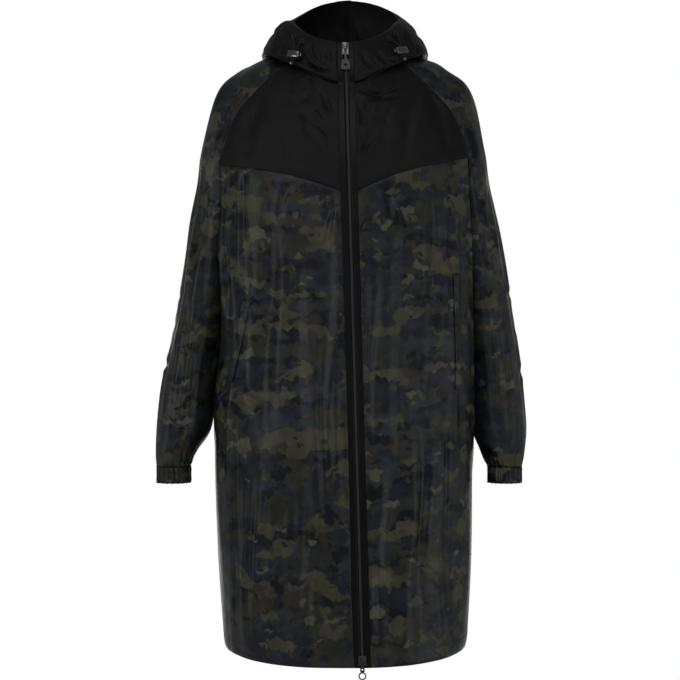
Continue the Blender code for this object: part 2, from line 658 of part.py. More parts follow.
def hinge_frame(pull):
    """The pull's own axes: the origin on its hinge, x along it, z up the cloth."""
    out = SEAM + SLIDER_THICK + HINGE_OUT
    return zip_frame(pull.middle_z) @ Matrix.Translation((0, -out, 0))


def rounded(corners, steps=3):
    """A closed outline from corners given as (x, z, radius)."""
    outline = []
    count = len(corners)
    for k, (x, z, radius) in enumerate(corners):
        here = Vector((x, z))
        back = (Vector(corners[k - 1][:2]) - here).normalized()
        ahead = (Vector(corners[(k + 1) % count][:2]) - here).normalized()
        for step in range(steps + 1):
            t = step / steps
            a, b = here + back * radius, here + ahead * radius
            outline.append(a * (1 - t) ** 2 + here * 2 * t * (1 - t) + b * t**2)
    return outline


def add_pull(pull):
    """A flat pull: a frame round the arch, a stem and a plain tab with a round hole."""
    stem_top = -(PULL_WINDOW + ARCH_WALL)
    tab_top = stem_top - pull.stem
    tab_low = tab_top - pull.tab_tall
    bar, frame_x, stem_x, tab_x = PULL_THICK / 2, PULL_HALF_WIDTH, STEM_HALF_WIDTH, pull.tab_wide / 2
    half = [(frame_x, bar, 0.0003), (frame_x, stem_top, 0.0008), (stem_x, stem_top - 0.0010, 0.0005),
            (stem_x, tab_top, 0.0005), (tab_x * TAB_SHOULDER, tab_top - 0.0012, 0.0018),
            (tab_x, tab_low, 0.0024)]
    outer = rounded(half + [(-x, z, r) for x, z, r in reversed(half)])
    window_x = ARCH_WIDE / 2 + PULL_CLEAR
    window = rounded([(window_x, -bar, 0.0003), (window_x, -PULL_WINDOW, 0.0004),
                      (-window_x, -PULL_WINDOW, 0.0004), (-window_x, -bar, 0.0003)], 2)
    hole_r, hole_z = pull.tab_wide * TAB_HOLE, mix(tab_top, tab_low, TAB_HOLE_DOWN)
    turns = [2 * math.pi * k / HOLE_SIDES for k in range(HOLE_SIDES)]
    hole = [Vector((hole_r * math.cos(turn), hole_z + hole_r * math.sin(turn))) for turn in turns]
    curve = bpy.data.curves.new("pull_" + pull.name, "CURVE")
    curve.dimensions, curve.fill_mode, curve.extrude = "2D", "BOTH", PULL_THICK / 2
    for outline in (outer, window, hole):
        spline = curve.splines.new("POLY")
        spline.points.add(len(outline) - 1)
        spline.use_cyclic_u = True
        for point, place in zip(spline.points, outline):
            point.co = (place.x, place.y, 0, 1)
    stand = Matrix.Rotation(math.pi / 2, 4, "X")
    curve_obj = bpy.data.objects.new("outline_" + pull.name, curve)
    bpy.data.collections[PARTS].objects.link(curve_obj)
    graph = bpy.context.evaluated_depsgraph_get()
    flat = bpy.data.meshes.new_from_object(curve_obj.evaluated_get(graph))
    bpy.data.objects.remove(curve_obj)
    mesh = bmesh.new()
    mesh.from_mesh(flat)
    bmesh.ops.remove_doubles(mesh, verts=mesh.verts, dist=1e-6)
    bmesh.ops.transform(mesh, matrix=stand, verts=mesh.verts)
    bmesh.ops.recalc_face_normals(mesh, faces=mesh.faces)
    mesh.to_mesh(flat)
    mesh.free()
    obj = add_object("pull_" + pull.name, flat, "zip_metal")
    obj.matrix_world = hinge_frame(pull)
    return obj


def hood_frame(side, degrees, row):
    """A matrix on the hood's outer face: x across to +X, y into the cloth, z up it."""
    angle, t = math.radians(degrees), row / len(HOODS)
    place = hood_point(side, angle, t)
    up = (hood_point(side, angle, t - 0.05) - hood_point(side, angle, t + 0.05)).normalized()
    round_it = hood_point(side, angle + 0.05, t) - hood_point(side, angle - 0.05, t)
    out = round_it.cross(up).normalized() * side
    axes = Matrix((up.cross(out), -out, up)).transposed().to_4x4()
    return Matrix.Translation(place) @ axes


def smooth_route(places, count):
    rows = [Place(*place) for place in places]
    return [Vector(row_at(rows, k * (len(rows) - 1) / (count - 1))) for k in range(count)]


def add_tube(name, route, radius, finish):
    curve = bpy.data.curves.new(name, "CURVE")
    curve.dimensions, curve.bevel_depth, curve.bevel_resolution = "3D", radius, 2
    curve.use_fill_caps = True
    spline = curve.splines.new("POLY")
    spline.points.add(len(route) - 1)
    for point, place in zip(spline.points, route):
        point.co = (*place, 1)
    curve.materials.append(finish_material(finish))
    obj = bpy.data.objects.new(name, curve)
    bpy.data.collections[PARTS].objects.link(obj)
    return obj


def add_lock(cords, lock):
    """The lock's body with a slot for the strands, and its button on the side of the zip."""
    name, out = side_name(cords.side), -SEAM - LOCK_DEEP / 2
    body = bevelled_box("lock_" + name, (LOCK_WIDE, LOCK_DEEP, LOCK_TALL), (0, out, 0), LOCK_BEVEL)
    lock_obj = add_object("cord_lock_" + name, body, "lock_plastic")
    lock_obj.matrix_world = lock
    slot = bevelled_box("slot", (SLOT_WIDE, SLOT_DEEP, LOCK_TALL * 2), (0, out, 0), SLOT_BEVEL, 1)
    combine(lock_obj, add_cutter("slot_" + name, slot, lock), "DIFFERENCE")
    button_x = -cords.side * (LOCK_WIDE / 2 + SEAM + BUTTON_LONG / 2)
    button = bevelled_box("button", (BUTTON_LONG, BUTTON_SIZE, BUTTON_SIZE), (button_x, out, 0),
                          BUTTON_BEVEL)
    add_object("lock_button_" + name, button, "lock_plastic").matrix_world = lock


def add_ball(name, centre):
    bpy.ops.mesh.primitive_uv_sphere_add(segments=10, ring_count=7, radius=BALL_RADIUS)
    made = bpy.context.object
    ball = add_object("cord_ball_" + name, made.data.copy(), "lock_plastic")
    ball.matrix_world = Matrix.Translation(centre)
    bpy.data.objects.remove(made)


def add_eyelet(name, place):
    bpy.ops.mesh.primitive_torus_add(major_segments=12, minor_segments=5,
                                     major_radius=EYELET_RADIUS, minor_radius=EYELET_WIRE)
    made = bpy.context.object
    stand = Matrix.Translation((0, -EYELET_WIRE - EYELET_CLEAR, 0))
    eyelet = add_object("eyelet_" + name, made.data.copy(), "zip_metal")
    eyelet.matrix_world = place @ stand @ Matrix.Rotation(math.pi / 2, 4, "X")
    bpy.data.objects.remove(made)


def add_cord_set(cords):
    """Two strands from their eyelets through the lock to an end ball."""
    side = cords.side
    lock = hood_frame(side, cords.lock_deg, cords.lock_row)
    add_lock(cords, lock)
    out, ball_z = -SEAM - LOCK_DEEP / 2, -LOCK_TALL / 2 - BALL_DROP
    add_ball(side_name(side), lock @ Vector((0, out, ball_z)))
    strands = (("outer", cords.outer_deg, side), ("inner", cords.inner_deg, -side))
    for strand, degrees, offset in strands:
        name = f"{side_name(side)}_{strand}"
        eyelet = hood_frame(side, degrees, cords.eyelet_row)
        add_eyelet(name, eyelet)
        x = offset * STRAND_APART / 2
        places = [
            eyelet @ Vector(CORD_START),
            eyelet @ Vector(CORD_BEND),
            lock @ Vector((x * CORD_FAN, out - CORD_RADIUS / 3, LOCK_TALL / 2 + CORD_ABOVE)),
            lock @ Vector((x, out, 0)),
            lock @ Vector((x, out, ball_z + BALL_RADIUS + CORD_END)),
        ]
        add_tube("cord_" + name, smooth_route(places, CORD_POINTS), CORD_RADIUS, "cord")


def main():
    for obj in list(bpy.data.objects):
        bpy.data.objects.remove(obj)
    for name in (PARTS, CUTTERS):
        collection = bpy.data.collections.new(name)
        bpy.context.scene.collection.children.link(collection)
    for side in (-1, 1):
        add_yoke(side)
        add_front(side)
        add_sleeve(side)
        add_cuff(side)
        add_hood(side)
        add_tape(side)
    add_back()
    for pocket in POCKETS:
        add_welt(pocket)
    for pull in PULLS:
        add_slider(pull)
        add_pull(pull)
    for cords in CORD_SETS:
        add_cord_set(cords)


main()
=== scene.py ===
import math

import bmesh
import bpy
import numpy as np
from mathutils import Matrix, Vector, noise
from mathutils.bvhtree import BVHTree
from mathutils.kdtree import KDTree


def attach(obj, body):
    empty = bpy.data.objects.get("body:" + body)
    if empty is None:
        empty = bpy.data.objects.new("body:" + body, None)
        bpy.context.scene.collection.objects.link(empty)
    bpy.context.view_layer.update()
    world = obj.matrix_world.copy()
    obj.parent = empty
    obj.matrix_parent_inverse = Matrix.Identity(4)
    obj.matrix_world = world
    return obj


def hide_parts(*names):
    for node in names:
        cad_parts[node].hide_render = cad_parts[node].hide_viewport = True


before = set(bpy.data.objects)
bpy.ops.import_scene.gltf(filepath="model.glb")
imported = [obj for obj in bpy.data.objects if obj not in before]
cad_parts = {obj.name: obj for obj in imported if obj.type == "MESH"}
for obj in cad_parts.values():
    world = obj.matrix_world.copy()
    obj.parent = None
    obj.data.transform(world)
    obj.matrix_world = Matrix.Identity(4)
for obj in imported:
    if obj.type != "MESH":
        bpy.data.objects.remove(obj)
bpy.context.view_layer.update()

jacket = "jacket"  # the body that the cloth rides on


def linked(name, data):
    # every piece stays at the origin, unturned and unscaled
    piece = bpy.data.objects.new(name, data)
    bpy.context.scene.collection.objects.link(piece)
    return piece


def declared(piece, body, node=None):
    if node:
        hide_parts(node)
    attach(piece, body)
    return piece


# the camera stands where the photograph's stood
cameraPlan = {"target": (-0.007, 0, -0.4375), "distance": 3.0, "lens": 101.6, "sensor": 36}


def placeCamera(plan):
    data = bpy.data.cameras.new("camera")
    data.lens = plan["lens"]
    data.sensor_width = plan["sensor"]
    camera = linked("camera", data)
    camera.location = Vector(plan["target"]) + Vector((0, -plan["distance"], 0))
    camera.rotation_euler = (math.pi / 2, 0, 0)
    bpy.context.scene.camera = camera


placeCamera(cameraPlan)
print("camera placed")


# materials

def startMaterial(name):
    material = bpy.data.materials.new(name)
    material.use_nodes = True
    return material, material.node_tree, material.node_tree.nodes["Principled BSDF"]


def feed(tree, node, inputs):
    # each input, by name or number, gets a value or a link
    for key, value in inputs.items():
        if isinstance(value, bpy.types.NodeSocket):
            tree.links.new(value, node.inputs[key])
        else:
            node.inputs[key].default_value = value


def addNode(tree, kind, inputs=None, **settings):
    node = tree.nodes.new(kind)
    for key, value in settings.items():
        setattr(node, key, value)
    feed(tree, node, inputs or {})
    return node


def sums(tree, kind, *values):
    return addNode(tree, "ShaderNodeMath", dict(enumerate(values)), operation=kind).outputs[0]


def vectors(tree, kind, *values):
    return addNode(tree, "ShaderNodeVectorMath", dict(enumerate(values)), operation=kind).outputs[0]


def ranged(tree, value, fromLow, fromHigh, low=0.0, high=1.0, kind="LINEAR"):
    inputs = {"Value": value, "From Min": fromLow, "From Max": fromHigh, "To Min": low, "To Max": high}
    return addNode(tree, "ShaderNodeMapRange", inputs, interpolation_type=kind).outputs[0]


def mixedColour(tree, share, first, second):
    return addNode(tree, "ShaderNodeMix", {"Factor": share, 6: first, 7: second}, data_type="RGBA").outputs[2]


def ramped(tree, value, dark, light):
    ramp = addNode(tree, "ShaderNodeValToRGB", {"Fac": value})
    for element, colour in zip(ramp.color_ramp.elements, (dark, light)):
        element.color = (*colour, 1)
    return ramp.outputs[0]


def flecked(tree, field, colour, spread):
    return ramped(tree, field, [c * (1 - spread) for c in colour], [c * (1 + spread) for c in colour])


def attributeOf(tree, name, output="Fac"):
    return addNode(tree, "ShaderNodeAttribute", attribute_name=name).outputs[output]


def objectPlace(tree):
    return addNode(tree, "ShaderNodeTexCoord").outputs["Object"]


def cloudy(tree, place, scale, detail=2.0, roughness=0.5, shift=(0, 0, 0), output="Fac"):
    spread = addNode(tree, "ShaderNodeMapping", {"Vector": place, "Location": shift, "Scale": scale}).outputs[0]
    inputs = {"Vector": spread, "Scale": 1.0, "Detail": detail, "Roughness": roughness}
    return addNode(tree, "ShaderNodeTexNoise", inputs).outputs[output]


def bumped(tree, height, distance, onto=None):
    node = addNode(tree, "ShaderNodeBump", {"Strength": 1.0, "Distance": distance, "Height": height})
    if onto:
        feed(tree, node, {"Normal": onto})
    return node.outputs[0]


def weaveHeight(tree, place, pitch):
    # threads over and under each other, across and along the cloth
    x, y, z = addNode(tree, "ShaderNodeSeparateXYZ", {"Vector": place}).outputs
    turn = 2 * math.pi / pitch
    across = sums(tree, "SINE", sums(tree, "MULTIPLY", sums(tree, "ADD", x, y), turn))
    along = sums(tree, "SINE", sums(tree, "MULTIPLY", z, turn))
    return sums(tree, "MULTIPLY", across, along)


clothPlan = {"puckerWide": 0.022, "puckerScale": (120, 120, 120), "weavePitch": 0.0011, "weaveDepth": 0.00003,
             "shineScale": (14, 14, 9)}


def clothSurface(tree, shader, plan):
    # small crumples, dimples that fade away from each seam, and the weave, as relief
    place = attributeOf(tree, "clothPlace", "Vector")
    relief = bumped(tree, cloudy(tree, place, plan["crumpleScale"], 3.0, 0.55), plan["crumpleDepth"])
    away = sums(tree, "DIVIDE", attributeOf(tree, "seamDistance"), clothPlan["puckerWide"])
    near = sums(tree, "MAXIMUM", sums(tree, "SUBTRACT", 1.0, away), 0.0)
    pucker = cloudy(tree, place, clothPlan["puckerScale"], 1.0, 0.5, (3, 1, 7))
    relief = bumped(tree, sums(tree, "MULTIPLY", pucker, near), plan["puckerDepth"], relief)
    relief = bumped(tree, weaveHeight(tree, place, clothPlan["weavePitch"]), clothPlan["weaveDepth"], relief)
    # the coating is a little uneven
    patch = cloudy(tree, place, clothPlan["shineScale"], 2.0, 0.5, (5, 2, 1))
    feed(tree, shader, {"Normal": relief, "Specular IOR Level": plan["specular"],
                        "Roughness": ranged(tree, patch, 0.3, 0.7, *plan["roughness"])})
    return place


blackPlan = {"colour": (0.0036, 0.0036, 0.0038), "fleck": 0.35, "fleckScale": (900, 900, 900),
             "roughness": (0.42, 0.52), "specular": 0.045,
             "crumpleScale": (38, 38, 26), "crumpleDepth": 0.0016, "puckerDepth": 0.0010}


def blackMaterial(name, plan):
    material, tree, shader = startMaterial(name)
    place = clothSurface(tree, shader, plan)
    fleck = cloudy(tree, place, plan["fleckScale"], 1.0)
    feed(tree, shader, {"Base Color": flecked(tree, fleck, plan["colour"], plan["fleck"])})
    return material


printPlan = {"roughness": (0.29, 0.37), "specular": 0.075,
             "crumpleScale": (34, 34, 22), "crumpleDepth": 0.0018, "puckerDepth": 0.0012,
             "ground": (0.0054, 0.0065, 0.0094),
             # each patch colour: its colour, the closeness of its patches, how rare it is, and a shift
             "patches": [((0.0110, 0.0106, 0.0080), (12, 12, 19), 0.50, (1, 3, 9)),
                         ((0.0078, 0.0094, 0.0082), (14, 14, 23), 0.54, (7, 2, 6)),
                         ((0.0024, 0.0030, 0.0042), (18, 18, 33), 0.545, (4, 7, 2)),
                         ((0.0090, 0.0114, 0.0136), (18, 18, 31), 0.595, (8, 1, 5)),
                         ((0.0200, 0.0200, 0.0128), (16, 16, 28), 0.567, (2, 6, 3)),
                         ((0.0110, 0.0104, 0.0080), (33, 33, 45), 0.60, (5, 8, 1)),
                         ((0.0048, 0.0059, 0.0084), (30, 30, 50), 0.61, (9, 4, 6)),
                         ((0.0275, 0.0278, 0.0190), (24, 24, 42), 0.65, (6, 5, 8)),
                         ((0.0030, 0.0034, 0.0046), (40, 40, 64), 0.655, (3, 9, 4))],
             "soft": 0.024, "mottle": (70, 70, 55), "mottleDepth": 1.12,
             "ragged": (80, 80, 26), "drip": 0.022, "sway": (45, 45, 60), "wobble": 0.010}


def printMaterial(name, plan):
    material, tree, shader = startMaterial(name)
    place = clothSurface(tree, shader, plan)
    # the edges of the patches run down in short drips
    rag = cloudy(tree, place, plan["ragged"], 1.5, 0.6)
    fall = sums(tree, "MULTIPLY", sums(tree, "SUBTRACT", rag, 0.5), plan["drip"])
    drip = addNode(tree, "ShaderNodeCombineXYZ", {"Z": fall}).outputs[0]
    slow = cloudy(tree, place, plan["sway"], 2.0, 0.6, (9, 9, 2), "Color")
    moved = vectors(tree, "ADD", place, vectors(tree, "MULTIPLY_ADD", slow, (plan["wobble"],) * 3, drip))
    colour = (*plan["ground"], 1)
    for patch, scale, rare, shift in plan["patches"]:
        field = cloudy(tree, moved, scale, 1.8, 0.5, shift)
        edge = ranged(tree, field, rare, rare + plan["soft"])
        colour = mixedColour(tree, edge, colour, (*patch, 1))
    worn = cloudy(tree, place, plan["mottle"], 3.0, 0.6, (2, 2, 8))
    gain = sums(tree, "MULTIPLY_ADD", sums(tree, "SUBTRACT", worn, 0.5), plan["mottleDepth"], 1.0)
    shaded = addNode(tree, "ShaderNodeVectorMath", {0: colour, "Scale": gain}, operation="SCALE").outputs[0]
    feed(tree, shader, {"Base Color": shaded})
    return material


def plainMaterial(name, colour, roughness, metallic=0.0, specular=0.5, coat=0.0,
                  grain=(600, 600, 600), grainDepth=0.00002):
    material, tree, shader = startMaterial(name)
    field = cloudy(tree, objectPlace(tree), grain, 2.0, 0.6)
    feed(tree, shader, {
        "Metallic": metallic, "Specular IOR Level": specular, "Coat Weight": coat, "Coat Roughness": 0.12,
        "Base Color": flecked(tree, field, colour, 0.25),
        "Roughness": ranged(tree, field, 0.0, 1.0, roughness * 0.8, roughness * 1.2),
        "Normal": bumped(tree, field, grainDepth)})
    return material


plainFinishes = {
    # the hood's inside is its own black cloth painted almost four times lighter: painted light for the light that
    # hardly reaches into the hood
    "hoodInsidePaintedLight": {"colour": (0.0135, 0.0135, 0.0140), "roughness": 0.50, "specular": 0.10,
                   "grain": (900, 900, 900), "grainDepth": 0.00003},
    "innerCloth": {"colour": (0.0060, 0.0060, 0.0064), "roughness": 0.55, "specular": 0.08,
                   "grain": (900, 900, 900), "grainDepth": 0.00003},
    "zipStrip": {"colour": (0.0022, 0.0022, 0.0023), "roughness": 0.38, "specular": 0.045, "grain": (500, 500, 160)},
    "thread": {"colour": (0.010, 0.010, 0.010), "roughness": 0.60, "specular": 0.06,
               "grain": (2500, 2500, 2500), "grainDepth": 0.00004},
    "zipMetal": {"colour": (0.026, 0.026, 0.028), "roughness": 0.28, "metallic": 0.5, "coat": 0.4},
    "pullMetal": {"colour": (0.011, 0.011, 0.012), "roughness": 0.45, "metallic": 0.2, "specular": 0.22},
    "zipTeeth": {"colour": (0.0035, 0.0035, 0.0036), "roughness": 0.40, "specular": 0.15},
    "lockPlastic": {"colour": (0.008, 0.008, 0.009), "roughness": 0.28, "coat": 0.3},
}
# colour of the painted highlight along the zip's lip
lipHighlightColour = (0.0190, 0.0190, 0.0195)


def paintLipHighlight(material, colour):
    # a painted highlight: the strip's colour is lighter along its lip, where the gloss catches the light
    tree = material.node_tree
    base = tree.nodes["Principled BSDF"].inputs["Base Color"]
    mixed = mixedColour(tree, attributeOf(tree, "lip"), base.links[0].from_socket, (*colour, 1))
    tree.links.new(mixed, base)


# dark is painted shade in the braid's grooves, light is the cord's colour on its crests
cordFinish = {"pitch": 0.0011, "dark": (0.0015, 0.0015, 0.0015), "light": (0.0080, 0.0080, 0.0084),
              "depth": 0.0002, "roughness": 0.6, "specular": 0.15}


def cordMaterial(name, plan):
    # a fine braid: two sets of strands that cross on the slant
    material, tree, shader = startMaterial(name)
    x, y, z = addNode(tree, "ShaderNodeSeparateXYZ", {"Vector": objectPlace(tree)}).outputs
    turn = 2 * math.pi / plan["pitch"]
    level = sums(tree, "MULTIPLY", z, turn)
    across = sums(tree, "MULTIPLY", sums(tree, "ADD", x, y), turn)
    braid = sums(tree, "MULTIPLY", sums(tree, "SINE", sums(tree, "ADD", level, across)),
                 sums(tree, "SINE", sums(tree, "SUBTRACT", level, across)))
    # the colour follows the braid's relief: painted shade, darker in the grooves
    shade = sums(tree, "MULTIPLY_ADD", braid, 0.5, 0.5)
    feed(tree, shader, {"Base Color": ramped(tree, shade, plan["dark"], plan["light"]),
                        "Normal": bumped(tree, braid, plan["depth"]),
                        "Roughness": plan["roughness"], "Specular IOR Level": plan["specular"]})
    return material


finishes = {name: plainMaterial(name, **plan) for name, plan in plainFinishes.items()}
finishes["blackCloth"] = blackMaterial("blackCloth", blackPlan)
finishes["printedCloth"] = printMaterial("printedCloth", printPlan)
finishes["cord"] = cordMaterial("cord", cordFinish)
paintLipHighlight(finishes["zipStrip"], lipHighlightColour)
print("materials made")


# the hood's cords, on the same routes as their solids
cordPlan = {
    "diameter": 0.0024,
    "routes": {
        ("left", "inner"): [
            (-0.06429, -0.08279, 0.01709), (-0.06483, -0.08442, 0.01711), (-0.06664, -0.08578, 0.01451),
            (-0.06996, -0.08759, 0.00945), (-0.07289, -0.08922, 0.00435), (-0.07433, -0.09022, 0.00049),
            (-0.07518, -0.09101, -0.00309), (-0.07626, -0.09213, -0.00721), (-0.07755, -0.09361, -0.01205),
            (-0.07847, -0.09472, -0.01557)],
        ("left", "outer"): [
            (-0.07761, -0.07037, 0.02712), (-0.07906, -0.07121, 0.02796), (-0.07887, -0.07482, 0.02329),
            (-0.07765, -0.08164, 0.01361), (-0.07685, -0.08732, 0.00483), (-0.07725, -0.08925, 0.00021),
            (-0.07821, -0.08964, -0.00287), (-0.07925, -0.09069, -0.00685), (-0.08055, -0.09217, -0.01169),
            (-0.08152, -0.09326, -0.01521)],
        ("right", "inner"): [
            (0.06773, -0.07843, 0.02212), (0.068, -0.0803, 0.02218), (0.07103, -0.08089, 0.01995),
            (0.07696, -0.08103, 0.01561), (0.08203, -0.08133, 0.01112), (0.08406, -0.08209, 0.00744),
            (0.08487, -0.0831, 0.00386), (0.08616, -0.08431, -0.00018), (0.08778, -0.08583, -0.0049),
            (0.08896, -0.08697, -0.00834)],
        ("right", "outer"): [
            (0.07886, -0.06668, 0.03125), (0.07989, -0.0678, 0.03207), (0.08134, -0.07042, 0.02798),
            (0.08367, -0.07506, 0.01949), (0.08576, -0.07902, 0.01166), (0.08691, -0.08067, 0.0073),
            (0.08775, -0.08139, 0.00415), (0.08897, -0.08256, 0.00023), (0.09061, -0.08408, -0.00449),
            (0.09183, -0.08519, -0.00792)],
    },
}


def smoothPath(points, perSpan=4):
    rows = [Vector(p) for p in points]
    path = []
    for k in range(len(rows) - 1):
        a, b, c, d = rows[max(k - 1, 0)], rows[k], rows[k + 1], rows[min(k + 2, len(rows) - 1)]
        for step in range(perSpan):
            t = step / perSpan
            path.append(0.5 * (2 * b + (c - a) * t + (2 * a - 5 * b + 4 * c - d) * t**2
                               + (3 * b - a - 3 * c + d) * t**3))
    return path + [rows[-1]]


def makeCord(side, strand, points, diameter):
    name = "cord" + side.capitalize() + strand.capitalize()
    path = smoothPath(points)
    curve = bpy.data.curves.new(name, "CURVE")
    curve.dimensions = "3D"
    curve.bevel_depth = diameter / 2
    curve.bevel_resolution = 4
    curve.use_fill_caps = True
    spline = curve.splines.new("POLY")
    spline.points.add(len(path) - 1)
    for point, place in zip(spline.points, path):
        point.co = (*place, 1)
    curve.materials.append(finishes["cord"])
    cord = declared(linked(name, curve), jacket, f"cord_{side}_{strand}")


for (side, strand), points in cordPlan["routes"].items():
    makeCord(side, strand, points, cordPlan["diameter"])
print("cords made")


# cloth panels: each takes the outer face of its solid, and becomes a thin creased shell

zipLine = {"topX": 0.0010, "hemX": 0.0265, "topZ": 0.0125, "hemZ": -0.924}
shellPlan = {"wall": 0.0020, "thickness": 0.0011, "joinAngle": 35, "shapeAngle": 60, "merge": 2e-5,
             "cornerAngle": 130, "levels": 3, "quickLevels": 2, "reach": 0.00026,
             # how far sleeve and body lean to each other: a share of the gap, and the most
             "lean": 0.42, "leanMost": 0.0016}
# the middle that each round panel stands about, as (x, y)
hubs = {"sleeve_left": (-0.215, 0.0), "sleeve_right": (0.215, 0.0), "cuff_left": (-0.2655, -0.014),
        "cuff_right": (0.249, -0.014), "hood_left": (0.0, 0.03), "hood_right": (0.0, 0.03)}


def familyOf(node):
    return node.split("_")[0]


def zipX(z):
    # the zip drifts to the right on its way down
    share = (zipLine["topZ"] - z) / (zipLine["topZ"] - zipLine["hemZ"])
    return zipLine["topX"] + (zipLine["hemX"] - zipLine["topX"]) * share


def mergedCopy(node, within):
    mesh = bmesh.new()
    mesh.from_mesh(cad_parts[node].data)
    bmesh.ops.remove_doubles(mesh, verts=mesh.verts, dist=within)
    return mesh


def makeQuads(mesh, faceAngle):
    bmesh.ops.join_triangles(mesh, faces=mesh.faces, angle_face_threshold=math.radians(faceAngle),
                             angle_shape_threshold=math.radians(shellPlan["shapeAngle"]))


def islandsOf(mesh):
    left, found = set(mesh.faces), []
    while left:
        island, front = set(), [left.pop()]
        while front:
            face = front.pop()
            island.add(face)
            near = {other for edge in face.edges for other in edge.link_faces} & left
            left -= near
            front.extend(near)
        found.append(list(island))
    return found


def outerSkin(node):
    # a merged copy of the solid, less its rim and its inner face
    skin = mergedCopy(node, shellPlan["merge"])
    makeQuads(skin, shellPlan["joinAngle"])
    rim = [face for face in skin.faces if min(e.calc_length() for e in face.edges) < shellPlan["wall"]]
    bmesh.ops.delete(skin, geom=rim, context="FACES")
    hub = Vector(hubs.get(node, (0.0, 0.0)))
    islands = islandsOf(skin)
    outward = [sum(f.calc_area() * f.normal.xy.dot(f.calc_center_median().xy - hub) for f in island)
               for island in islands]
    keep = outward.index(max(outward))
    drop = [f for k, island in enumerate(islands) if k != keep for f in island]
    bmesh.ops.delete(skin, geom=drop, context="FACES")
    return skin


def asMesh(mesh, name):
    data = bpy.data.meshes.new(name)
    mesh.to_mesh(data)
    mesh.free()
    return data


def keepCorners(mesh):
    # the corners of an open edge stay sharp when the mesh is divided
    sharp = mesh.verts.layers.float.new("crease_vert")
    for vert in mesh.verts:
        ways = [e.other_vert(vert).co - vert.co for e in vert.link_edges if e.is_boundary]
        if len(ways) == 2 and ways[0].angle(ways[1]) < math.radians(shellPlan["cornerAngle"]):
            vert[sharp] = 1.0


def divided(mesh, name, levels):
    keepCorners(mesh)
    helper = linked("helper", asMesh(mesh, "helper"))
    smooth = helper.modifiers.new("smooth", "SUBSURF")
    smooth.levels = smooth.render_levels = levels
    smooth.boundary_smooth = "PRESERVE_CORNERS"
    smooth.use_limit_surface = False
    made = bpy.data.meshes.new_from_object(helper.evaluated_get(bpy.context.evaluated_depsgraph_get()))
    made.name = name
    rough = helper.data
    bpy.data.objects.remove(helper)
    bpy.data.meshes.remove(rough)
    return made


def coordinates(data):
    points = np.empty(len(data.vertices) * 3)
    data.vertices.foreach_get("co", points)
    normals = np.empty(len(data.vertices) * 3)
    data.vertices.foreach_get("normal", normals)
    return points.reshape(-1, 3), normals.reshape(-1, 3)


def moveTo(data, points):
    data.vertices.foreach_set("co", np.ascontiguousarray(points, np.float32).ravel())
    data.update()


def store(data, name, values, kind="FLOAT"):
    layer = data.attributes.new(name, kind, "POINT")
    layer.data.foreach_set("value" if kind == "FLOAT" else "vector", np.ascontiguousarray(values, np.float32).ravel())


def surfaceOf(data):
    return BVHTree.FromPolygons([v.co for v in data.vertices], [p.vertices for p in data.polygons])


def edgeOf(data):
    # the open edge: its points' numbers, places and directions out of the cloth, and marks along it
    mesh = bmesh.new()
    mesh.from_mesh(data)
    numbers, places, ways, marks = [], [], [], []
    for vert in mesh.verts:
        if not vert.is_boundary:
            continue
        inner = [e.other_vert(vert).co for e in vert.link_edges if not e.is_boundary]
        inner = inner or [vert.link_faces[0].calc_center_median()]
        numbers.append(vert.index)
        places.append(vert.co[:])
        ways.append((vert.co - sum(inner, Vector()) / len(inner)).normalized()[:])
    for edge in mesh.edges:
        if edge.is_boundary:
            a, b = edge.verts
            marks += [a.co[:], ((a.co + b.co) / 2)[:]]
    mesh.free()
    return np.array(numbers), np.array(places), np.array(ways), np.array(marks)


def distanceTo(points, marks):
    tree = KDTree(len(marks))
    for k, mark in enumerate(marks):
        tree.insert(mark, k)
    tree.balance()
    return np.array([tree.find(p)[2] for p in points])


skinNames = ["back", "yoke_left", "yoke_right", "front_left", "front_right", "sleeve_left", "sleeve_right",
             "hood_left", "hood_right", "cuff_left", "cuff_right"]
trees = {}
for node in skinNames:
    skin = outerSkin(node)
    trees[node] = BVHTree.FromBMesh(skin)
    skin.free()
print("faces of the solids read")
